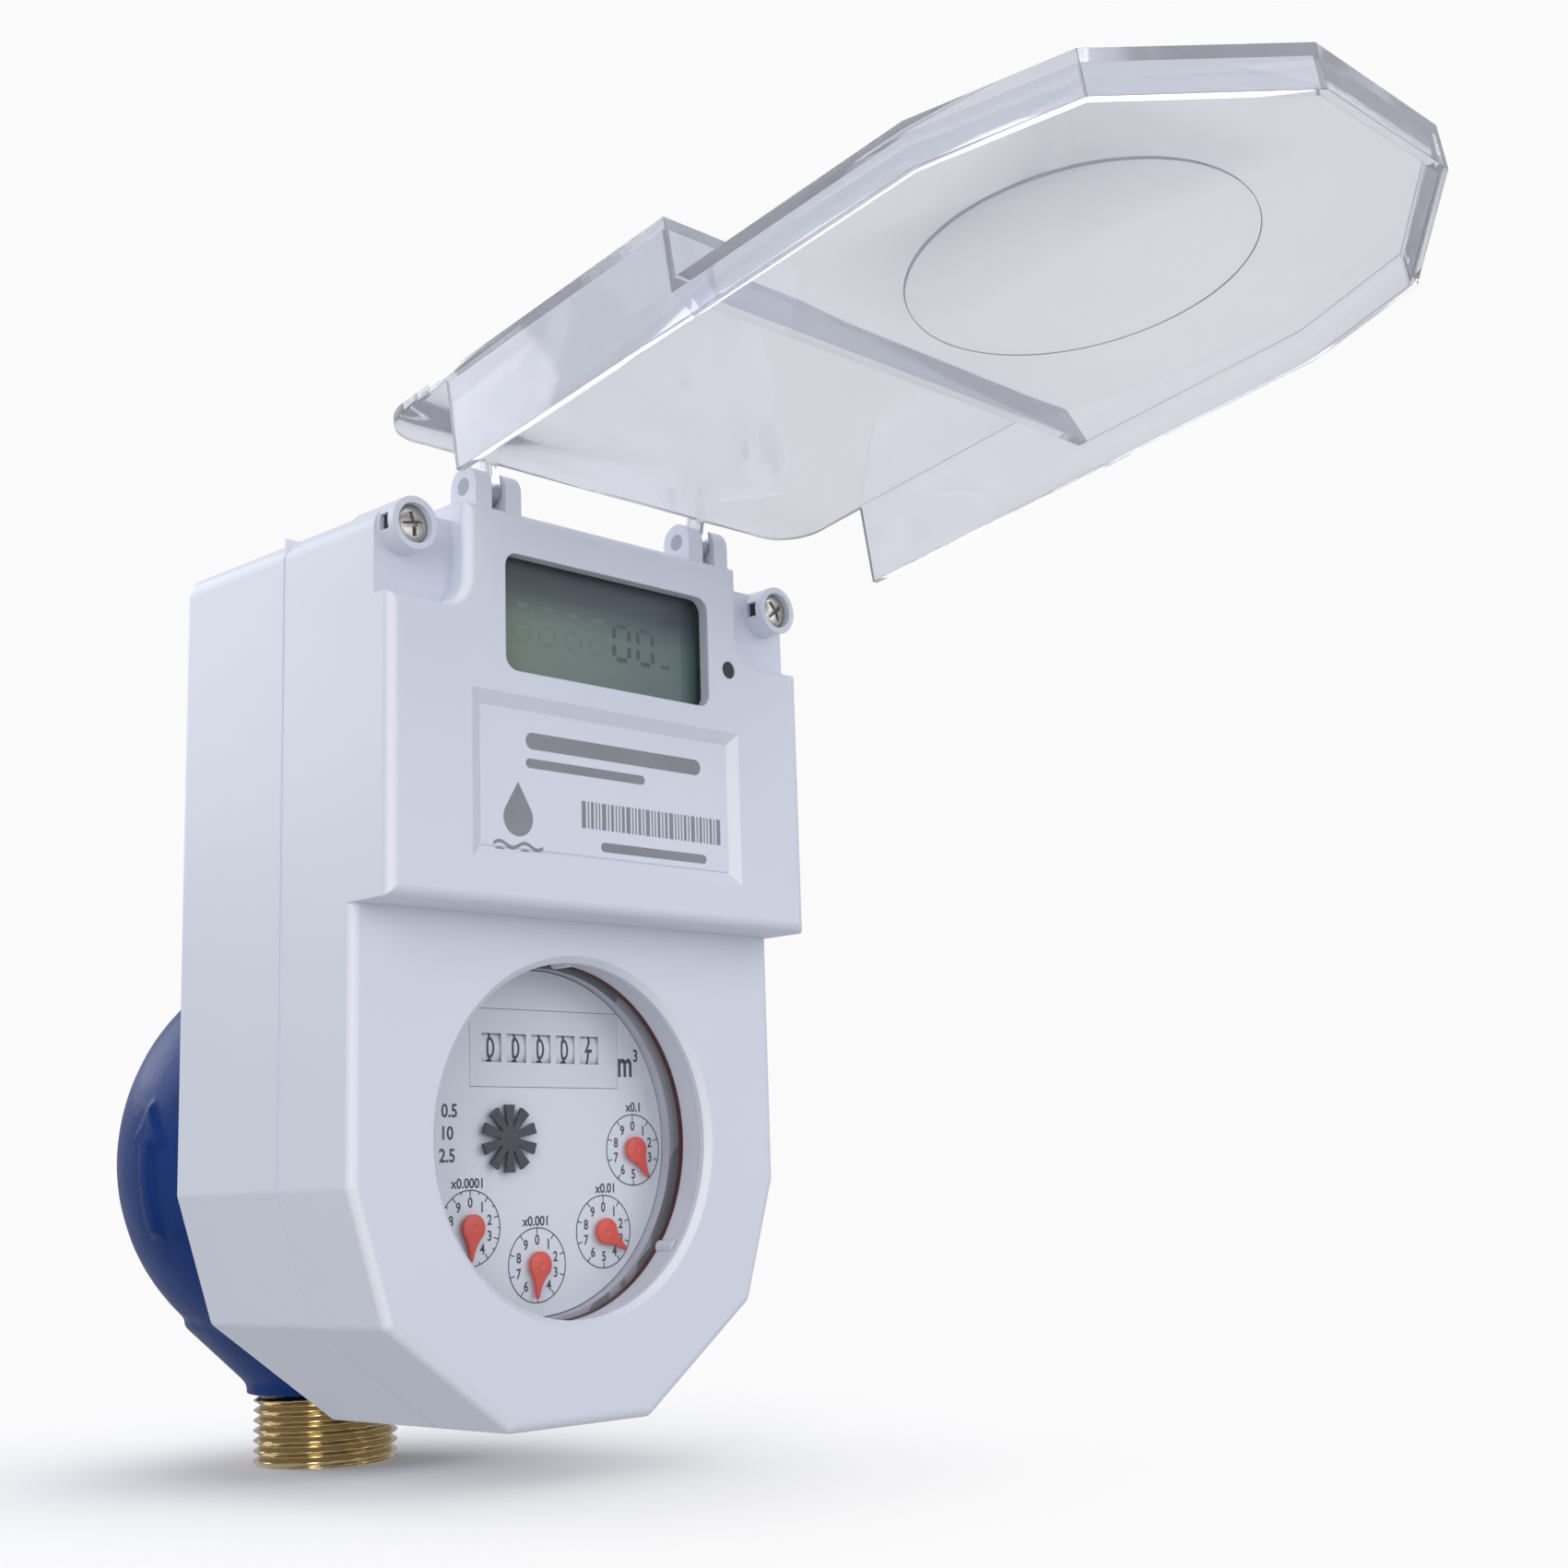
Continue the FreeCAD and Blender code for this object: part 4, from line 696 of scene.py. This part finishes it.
def display_figures():
    """Two dark zeros at the right of the display and faint figures to their left."""
    level = face_level("lcd_module")
    for name, look, centres in (
            ("display_zeros", "lcd_segment", (5.3, 10.9)),
            ("display_ghosts", "lcd_ghost", (-22.7, -17.1, -11.5, -5.9, -0.3))):
        bm = bmesh.new()
        for centre in centres:
            stamp(bm, segment_zero(), at(centre, DISPLAY_ROW))
            if look == "lcd_ghost":
                middle = stroke((-BAR_HALF_WIDTH, 0), (BAR_HALF_WIDTH, 0), SEGMENT_WIDTH)
                stamp(bm, middle, at(centre, DISPLAY_ROW))
        if look == "lcd_segment":
            stamp(bm, bar(*LAST_SEGMENT))
        thicken(bm, PRINT_DEPTH)
        bm.transform(face_place(z=level))
        add_piece(name, bm, look, "housing")


# Plain bars on the label, each by its left, bottom, right and top edges.
TITLE_BARS = ((-18.5, 63.4, 21.5, 66.2), (-18.5, 60.2, 8.0, 61.8))
FOOT_BAR = (-2.3, 47.6, 22.5, 49.2)

DROP_PLACE = (-20.2, 52.2)
DROP_TIP = 5.4
DROP_RADIUS = 3.1
DROP_SINK = -0.6
DROP_STEPS = 18
DROP_START = -25
DROP_ARC = 230

WAVE_ROWS = (47.3, 46.0)
WAVE_START = -5.2
WAVE_STEP = 0.4
WAVE_STEPS = 27
WAVE_TURN = 0.48
WAVE_HEIGHT = 0.45
WAVE_THICKNESS = 0.6

# The strip of upright lines: widths in units, and the gap after each. They stand for nothing.
LINE_WIDTHS = (
    3, 1, 2, 1, 1, 3, 1, 2, 1, 1, 2, 3, 1, 1, 2, 1, 3, 1,
    1, 2, 1, 2, 3, 1, 1, 1, 2, 1, 3, 1, 2, 1, 1, 2, 1, 3,
)
LINE_GAP = 1.35
STRIP_START = -6.5
STRIP_LENGTH = 33.0
STRIP_BOTTOM = 51.3
STRIP_TOP = 55.9


def water_drop():
    """A plain drop: a round foot that narrows to a tip."""
    outline = [(0.0, DROP_TIP)]
    for step in range(DROP_STEPS + 1):
        turn = -math.radians(DROP_START + step * DROP_ARC / DROP_STEPS)
        outline.append((DROP_RADIUS * math.cos(turn), DROP_SINK + DROP_RADIUS * math.sin(turn)))
    return polygon(outline)


def wave_line():
    """A thin wavy line."""
    upper = [(WAVE_START + WAVE_STEP * step, WAVE_HEIGHT * math.sin(step * WAVE_TURN))
             for step in range(WAVE_STEPS)]
    return polygon(upper + [(x, y - WAVE_THICKNESS) for x, y in reversed(upper)])


def label_print():
    """Grey print on the label: plain bars, a water drop over two waves, and a strip of lines."""
    bm = bmesh.new()
    for edges in TITLE_BARS:
        stamp(bm, rounded_bar(*edges))
    stamp(bm, water_drop(), at(*DROP_PLACE))
    for row in WAVE_ROWS:
        stamp(bm, wave_line(), at(DROP_PLACE[0], row))
    start, unit = STRIP_START, STRIP_LENGTH / (sum(LINE_WIDTHS) + LINE_GAP * len(LINE_WIDTHS))
    for width in LINE_WIDTHS:
        stamp(bm, bar(start, STRIP_BOTTOM, start + width * unit, STRIP_TOP))
        start += (width + LINE_GAP) * unit
    stamp(bm, rounded_bar(*FOOT_BAR))
    thicken(bm, PRINT_DEPTH)
    bm.transform(face_place(z=face_level("label_plate")))
    add_piece("label_print", bm, "print_grey", "housing")


# ---------------------------------------------------------------- screws, lid, seam, bezel

SEAL_HEAD_RADIUS = 3.15
SEAL_HEIGHT = 97.2
SEAL_STEPS = 144
SEAL_RINGS = 36
DOME_DROP = 0.55
RIM_DROP = 0.25
HEAD_DEPTH = 2.0
SHANK_RADIUS = 1.4
CROSS_HALF_WIDTH = 0.32
CROSS_REACH = 1.9
CROSS_SLOPE = 0.22
CROSS_DEPTH = 1.1
# How far the cross of each screw is turned, in degrees: left, right.
CROSS_TURNS = {-1: 12, 1: 35}


def seal_head():
    """The top of a sealing screw: a dome with a pressed cross recess, as rings of points."""
    head = bmesh.new()
    rows = []
    for ring in range(1, SEAL_RINGS + 1):
        share = ring / SEAL_RINGS
        reach = SEAL_HEAD_RADIUS * ring / SEAL_RINGS
        dome = DOME_DROP * share ** 2 + RIM_DROP * share ** 8
        row = []
        for step in range(SEAL_STEPS):
            turn = 2 * math.pi * step / SEAL_STEPS
            x, y = reach * math.cos(turn), reach * math.sin(turn)
            arm = max(min(abs(x), abs(y)) - CROSS_HALF_WIDTH, max(abs(x), abs(y)) - CROSS_REACH)
            dip = CROSS_DEPTH * (1 - min(max(arm / CROSS_SLOPE + 0.5, 0), 1))
            row.append(head.verts.new((x, y, -dome - dip)))
        rows.append(row)
    middle = head.verts.new((0, 0, -CROSS_DEPTH))
    for step in range(SEAL_STEPS):
        following = (step + 1) % SEAL_STEPS
        head.faces.new((middle, rows[0][step], rows[0][following]))
        for inner, outer in zip(rows, rows[1:]):
            head.faces.new((inner[step], outer[step], outer[following], inner[following]))
    return head


def seal_screws():
    """Domed sealing screws with a pressed cross recess."""
    low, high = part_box("seal_screws")
    depth = (high.y - low.y) / MM
    profile = [(SEAL_HEAD_RADIUS, -DOME_DROP - RIM_DROP), (SEAL_HEAD_RADIUS, -HEAD_DEPTH),
               (SHANK_RADIUS, -HEAD_DEPTH), (SHANK_RADIUS, -depth), (AXIS, -depth)]
    bm = bmesh.new()
    for side, cross_turn in CROSS_TURNS.items():
        centre = ((high.x if side > 0 else low.x) - FACE.x) / MM - side * SEAL_HEAD_RADIUS
        turned = Matrix.Rotation(math.radians(cross_turn), 4, "Z")
        stamp(bm, seal_head(), at(centre, SEAL_HEIGHT) @ turned)
        stamp(bm, lathe(profile, SEAL_STEPS, closed=False), at(centre, SEAL_HEIGHT))
    bmesh.ops.remove_doubles(bm, verts=bm.verts[:], dist=0.002)
    bm.transform(face_place(z=face_level("seal_screws")))
    piece = add_piece("seal_screw_heads", bm, "nickel_steel", "housing", 50)
    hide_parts("seal_screws")


# In metres: the rounding of the lid's edges, how narrow a face counts as a rim, which takes the painted shade
# of the edges, and the reach of the hinge, round which no face does.
LID_ROUND = 0.00035
RIM_WIDTH = 0.0024
HINGE_REACH = 0.007


def clear_lid():
    """The lid with softly rounded edges; its rims and rounded edges carry a painted shade, greyer than its walls.
    """
    bm = bmesh.new()
    bm.from_mesh(NODES["lid"].data)
    bmesh.ops.remove_doubles(bm, verts=bm.verts[:], dist=1e-6)
    bmesh.ops.dissolve_limit(bm, angle_limit=math.radians(0.5), verts=bm.verts[:], edges=bm.edges[:])
    hinge = Vector(JOINTS["lid_hinge"]["pos_m"])
    # Narrow rim faces take the second material, the painted shade of the edges.
    for flat in bm.faces:
        longest = max(edge.calc_length() for edge in flat.edges)
        away = (flat.calc_center_median() - hinge).yz.length > HINGE_REACH
        flat.material_index = int(away and flat.calc_area() / longest < RIM_WIDTH)
    mesh = bpy.data.meshes.new("copy")
    bm.to_mesh(mesh)
    bm.free()
    for look in ("clear_plastic", "clear_edge"):
        mesh.materials.append(MATERIALS[look])
    settings = {"width": LID_ROUND, "segments": 2, "limit_method": "ANGLE",
                "angle_limit": math.radians(25), "use_clamp_overlap": True, "material": 1}
    rounded = evaluated(mesh, ("BEVEL", settings))
    bm = bmesh.new()
    bm.from_mesh(rounded)
    bpy.data.meshes.remove(rounded)
    piece = add_piece("clear_lid", bm, "clear_plastic", "lid", 30)
    piece.data.materials.append(MATERIALS["clear_edge"])
    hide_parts("lid")


# Where the dark plates of painted shade stand in the sealing-wire windows, in millimetres.
SHADE_NEAR = 3.35
SHADE_FAR = 3.55
SHADE_HALF_HEIGHT = 1.25
SHADE_LEVEL = 6.25
SHADE_DEPTH = 2.1


def wire_window_shades():
    """Dark plates in the sealing-wire windows beside the screws: painted shade for the windows' shadowed insides.
    """
    screws_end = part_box("seal_screws")[1].x / MM
    bottom, top = SEAL_HEIGHT - SHADE_HALF_HEIGHT, SEAL_HEIGHT + SHADE_HALF_HEIGHT
    bm = bmesh.new()
    for side in (-1, 1):
        centre = side * (screws_end - SEAL_HEAD_RADIUS)
        for outward in (-1, 1):
            near, far = sorted((centre + outward * SHADE_NEAR, centre + outward * SHADE_FAR))
            stamp(bm, bar(near, bottom, far, top))
    thicken(bm, SHADE_DEPTH)
    bm.transform(face_place(z=SHADE_LEVEL))
    add_piece("wire_window_shades", bm, "black_plastic", "housing")


SEAM_GROWTH = 0.65


def seam_bead():
    """The soft gasket between the housing's halves, swollen nearly flush with them."""
    low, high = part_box("housing_gasket")
    middle = (low + high) / 2
    half = (high - low) / 2
    growth = SEAM_GROWTH * MM
    grown = Matrix.Diagonal((1 + growth / half.x, 1, 1 + growth / half.z, 1))
    bm = bmesh.new()
    bm.from_mesh(NODES["housing_gasket"].data)
    bm.transform(Matrix.Translation(middle) @ grown @ Matrix.Translation(-middle))
    # Its lighter colour is painted light along the seam.
    piece = add_piece("seam_bead", bm, "seam_rubber", "housing")
    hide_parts("housing_gasket")


LUG_TURNS = (1.0, 128.0)
LUG_REACH = 30.5
LUG_RADIUS = 1.2
LUG_CHAMFER = 0.3
LUG_SUNK = 0.6
LUG_LIFT = 0.05


def ring_lugs():
    """Two small lugs on the inside of the bezel ring."""
    bm = bmesh.new()
    top = face_level("bezel_ring") - LUG_SUNK
    foot = face_level("bezel_ring", False) + LUG_LIFT
    profile = [(AXIS, top), (LUG_RADIUS - LUG_CHAMFER, top), (LUG_RADIUS, top - LUG_CHAMFER),
               (LUG_RADIUS, foot), (AXIS, foot)]
    for turn in LUG_TURNS:
        x, y = clock(LUG_REACH, turn)
        stamp(bm, lathe(profile, 32, closed=False), at(x, y))
    bm.transform(face_place())
    add_piece("bezel_lugs", bm, "ring_grey", "housing")


# ---------------------------------------------------------------- wet body

THREAD_RADIUS = 13.22
THREAD_PITCH = 1.814
THREAD_DEPTH = 1.16
THREAD_END = 13.3
THREAD_STEPS = 160
THREAD_LINES = 150
# The tooth's flank: its gain, and what is cut off to leave a flat root.
FLANK_GAIN = 1.25
ROOT_FLAT = 0.12
# The chamfers at the mouth and at the casting: how high they start above the root, and their slope.
MOUTH_START, MOUTH_SLOPE = 0.15, 1.4
INNER_START, INNER_SLOPE = 0.3, 1.2
BORE_STEP = 10.0
BORE_CHAMFER = 0.45


def turned_row(bm, radii, height):
    """A closed row of points round Z, one for each radius."""
    row = []
    for step, radius in enumerate(radii):
        turn = 2 * math.pi * step / len(radii)
        row.append(bm.verts.new((radius * math.cos(turn), radius * math.sin(turn), height)))
    return row


def thread_radius(height, share):
    """The radius of the helical thread at a height and a share of the turn."""
    root = THREAD_RADIUS - THREAD_DEPTH
    wave = (height / THREAD_PITCH - share) % 1
    tooth = min(max(abs(wave - 0.5) * 2 * FLANK_GAIN - ROOT_FLAT, 0.0), 1.0)
    mouth = root + MOUTH_START + height * MOUTH_SLOPE
    inner = root + INNER_START + (THREAD_END - height) * INNER_SLOPE
    return min(root + THREAD_DEPTH * tooth, mouth, inner)


def threaded_end(name, bore, flow, from_top):
    """A machined brass end with a helical thread outside and the bore inside."""
    bm = bmesh.new()
    rows = []
    for line in range(THREAD_LINES + 1):
        height = THREAD_END * line / THREAD_LINES
        radii = [thread_radius(height, step / THREAD_STEPS) for step in range(THREAD_STEPS)]
        rows.append(turned_row(bm, radii, height))
    inside = [(bore + BORE_CHAMFER, 0.0), (bore, BORE_CHAMFER), (bore, BORE_STEP), (flow, BORE_STEP),
              (flow, THREAD_END)]
    for radius, height in reversed(inside):
        rows.append(turned_row(bm, [radius] * THREAD_STEPS, height))
    for index, low in enumerate(rows):
        high = rows[(index + 1) % len(rows)]
        for step in range(THREAD_STEPS):
            following = (step + 1) % THREAD_STEPS
            bm.faces.new((low[step], low[following], high[following], high[step]))
    if from_top:
        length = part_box("meter_body")[1].z / MM
        bm.transform(Matrix.Translation((0, 0, length)) @ Matrix.Rotation(math.pi, 4, "X"))
    bm.transform(Matrix.Scale(MM, 4))
    add_piece(name, bm, "brass", "housing", 28)


BOWL_RADIUS = 40.3
ARROW = ((-1.7, -12.0), (1.7, -12.0), (1.7, 4.0), (4.8, 4.0), (0.0, 11.5), (-4.8, 4.0), (-1.7, 4.0))
ARROW_LINES = 11
ARROW_DROP = 2.0
ARROW_PROUD = 0.95
ARROW_ROOT = -1.5


def raised_arrow(centre):
    """An arrow along the flow, wrapped on the left of the bowl; millimetres."""
    bm = polygon(ARROW)
    for line in range(-ARROW_LINES, ARROW_LINES + 1):
        for spot, normal in (((0, line, 0), (0, 1, 0)), ((line / 2, 0, 0), (1, 0, 0))):
            bmesh.ops.bisect_plane(bm, geom=bm.verts[:] + bm.edges[:] + bm.faces[:],
                                   plane_co=spot, plane_no=normal)
    thicken(bm, 1.0)
    for vert in bm.verts:
        back, up = vert.co.x, vert.co.y - ARROW_DROP
        reach = BOWL_RADIUS + (ARROW_PROUD if vert.co.z > 0.5 else ARROW_ROOT)
        out = math.sqrt(reach ** 2 - back ** 2 - up ** 2)
        vert.co = Vector((-out, centre.y + back, centre.z + up))
    bm.transform(Matrix.Scale(MM, 4))
    return bm


# In metres unless said: where the paint ends, the size of the remeshed surface's cells, how deep the
# unevenness goes, and its two scales in cycles per metre.
THREADS_SHOWN = 7
PAINT_GAP = 0.0001
CASTING_CELL = 0.00062
ROUGH_DEPTH = 0.00016
ROUGH_SCALE = 160
ROUGH_FINE_SCALE = 620


def casting():
    """The painted casting between the machined ends, rounded and uneven as a casting is."""
    bm = bmesh.new()
    bm.from_mesh(NODES["meter_body"].data)
    bmesh.ops.remove_doubles(bm, verts=bm.verts[:], dist=1e-6)
    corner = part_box("meter_body")[1]
    thread = THREAD_PITCH * THREADS_SHOWN * MM
    for height, outward in ((thread + PAINT_GAP, -1), (corner.z - thread - PAINT_GAP, 1)):
        cut = bmesh.ops.bisect_plane(bm, geom=bm.verts[:] + bm.edges[:] + bm.faces[:], clear_outer=True,
                                     plane_co=(0, 0, height), plane_no=(0, 0, outward))
        rim = [item for item in cut["geom_cut"] if isinstance(item, bmesh.types.BMEdge)]
        bmesh.ops.triangle_fill(bm, edges=rim, use_beauty=True)
    centre = Vector((0, corner.y / MM - BOWL_RADIUS, FACE.z / MM))
    stamp(bm, raised_arrow(centre))
    bmesh.ops.recalc_face_normals(bm, faces=bm.faces[:])
    mesh = bpy.data.meshes.new("casting_blank")
    bm.to_mesh(mesh)
    bm.free()
    soft = evaluated(mesh, ("REMESH", {"mode": "VOXEL", "voxel_size": CASTING_CELL}),
                     ("SMOOTH", {"factor": 0.5, "iterations": 3}))
    bm = bmesh.new()
    bm.from_mesh(soft)
    bpy.data.meshes.remove(soft)
    bm.normal_update()
    for vert in bm.verts:
        spot = vert.co
        coarse, fine = noise.noise(spot * ROUGH_SCALE), noise.noise(spot * ROUGH_FINE_SCALE)
        rough = 0.5 + 0.5 * coarse + 0.12 * fine
        vert.co = spot - vert.normal * ROUGH_DEPTH * min(max(rough, 0.0), 1.2)
    piece = add_piece("casting", bm, "blue_paint", "housing", 60)
    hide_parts("meter_body")


# ---------------------------------------------------------------- stage

BACKGROUND = (0.965, 0.96, 0.968)
FADE_STARTS = 0.02
FADE_ENDS = 0.17


def fade_to_light(tree, shader):
    """Blend a shader into plain light away from the object, so that the floor has no visible edge."""
    coords = tree.nodes.new("ShaderNodeTexCoord")
    length = tree.nodes.new("ShaderNodeVectorMath")
    length.operation = "LENGTH"
    tree.links.new(coords.outputs["Object"], length.inputs[0])
    span = add_node(tree, "ShaderNodeMapRange", From_Min=FADE_STARTS, From_Max=FADE_ENDS)
    span.interpolation_type = "SMOOTHSTEP"
    tree.links.new(length.outputs["Value"], span.inputs["Value"])
    light = add_node(tree, "ShaderNodeEmission", Color=(*BACKGROUND, 1), Strength=1.0)
    mix = tree.nodes.new("ShaderNodeMixShader")
    tree.links.new(span.outputs["Result"], mix.inputs["Fac"])
    tree.links.new(shader.outputs["BSDF"], mix.inputs[1])
    tree.links.new(light.outputs["Emission"], mix.inputs[2])
    tree.links.new(mix.outputs["Shader"], tree.nodes["Material Output"].inputs["Surface"])


def stage_object(name, bm, material):
    """A piece of the stage."""
    mesh = bpy.data.meshes.new(name)
    bm.to_mesh(mesh)
    bm.free()
    mesh.materials.append(material)
    item = bpy.data.objects.new(name, mesh)
    bpy.context.scene.collection.objects.link(item)
    return item


def make_stage():
    """A pale floor under the pipe and a far pale backdrop."""
    bm = bmesh.new()
    bmesh.ops.create_circle(bm, cap_ends=True, radius=6.0, segments=96)
    material, tree, shader = new_material("floor_white")
    shader.inputs["Base Color"].default_value = (0.98, 0.97, 0.95, 1)
    shader.inputs["Roughness"].default_value = 0.85
    shader.inputs["Specular IOR Level"].default_value = 0.1
    fade_to_light(tree, shader)
    floor = stage_object("floor", bm, material)
    floor.visible_diffuse = False
    floor.visible_glossy = False
    bm = bmesh.new()
    bmesh.ops.create_uvsphere(bm, u_segments=48, v_segments=24, radius=6.5)
    material = bpy.data.materials.new("backdrop_light")
    material.use_nodes = True
    tree = material.node_tree
    tree.nodes.clear()
    light = add_node(tree, "ShaderNodeEmission", Color=(*BACKGROUND, 1), Strength=1.0)
    output = tree.nodes.new("ShaderNodeOutputMaterial")
    tree.links.new(light.outputs["Emission"], output.inputs["Surface"])
    backdrop = stage_object("backdrop", bm, material)
    backdrop.visible_diffuse = False
    backdrop.visible_glossy = False
    backdrop.visible_shadow = False


LIGHT_TARGET = Vector((0, -0.05, 0.08))
LIGHT_COLOUR = (0.94, 0.955, 1.0)
SKY_COLOUR = (0.925, 0.945, 1.0, 1)
SKY_STRENGTH = 0.51

# Each light's place, size and power.
LIGHTS = {
    "key": ((-0.88, -0.66, 0.30), (0.35, 1.1), 3.9),
    "fill": ((0.35, -0.95, 0.45), (0.8, 0.9), 3.0),
    "top": ((0.05, 0.1, 1.1), (0.9, 0.9), 4.4),
    "back": ((-0.3, 0.8, 0.5), (0.8, 0.5), 2.9),
}


def area_light(name, place, size, power):
    """A soft light aimed at the meter."""
    data = bpy.data.lights.new(name, "AREA")
    data.shape = "RECTANGLE"
    data.size, data.size_y = size
    data.energy = power
    data.color = LIGHT_COLOUR
    lamp = bpy.data.objects.new(name, data)
    bpy.context.scene.collection.objects.link(lamp)
    lamp.location = place
    lamp.rotation_euler = (LIGHT_TARGET - Vector(place)).to_track_quat("-Z", "Y").to_euler()
    lamp.visible_camera = False


def make_lights():
    """Even studio light from everywhere, with a tall soft key from the left."""
    world = bpy.data.worlds.new("studio")
    bpy.context.scene.world = world
    world.use_nodes = True
    sky = world.node_tree.nodes["Background"]
    sky.inputs["Color"].default_value = SKY_COLOUR
    sky.inputs["Strength"].default_value = SKY_STRENGTH
    for name, (place, size, power) in LIGHTS.items():
        area_light(name, place, size, power)


CAMERA_PLACE = Vector((-0.24241, -0.35425, 0.04661))
CAMERA_FORWARD = Vector((0.71213, 0.67713, 0.18538))
CAMERA_UP = Vector((-0.11200, -0.15109, 0.98215))
CAMERA_LENS = 49.63
CAMERA_SENSOR = 36.0


def make_camera():
    """The camera in front of the left side, a little below the display, looking slightly up."""
    data = bpy.data.cameras.new("camera")
    data.lens = CAMERA_LENS
    data.sensor_width = CAMERA_SENSOR
    data.clip_start, data.clip_end = 0.01, 50
    camera = bpy.data.objects.new("camera", data)
    bpy.context.scene.collection.objects.link(camera)
    right = CAMERA_FORWARD.cross(CAMERA_UP).normalized()
    up = right.cross(CAMERA_FORWARD).normalized()
    turn = Matrix((right, up, -CAMERA_FORWARD)).transposed().to_4x4()
    camera.matrix_world = Matrix.Translation(CAMERA_PLACE) @ turn
    bpy.context.scene.camera = camera


dress_cad_nodes()
dial_print()
dial_spot()
counter_mask()
drum_figures()
pointers()
display_figures()
label_print()
seal_screws()
clear_lid()
seam_bead()
wire_window_shades()
ring_lugs()
casting()
threaded_end("inlet_end", bore=9.0, flow=8.0, from_top=False)
threaded_end("outlet_end", bore=10.0, flow=9.5, from_top=True)
make_stage()
make_lights()
make_camera()
bpy.context.scene.view_settings.view_transform = "Standard"
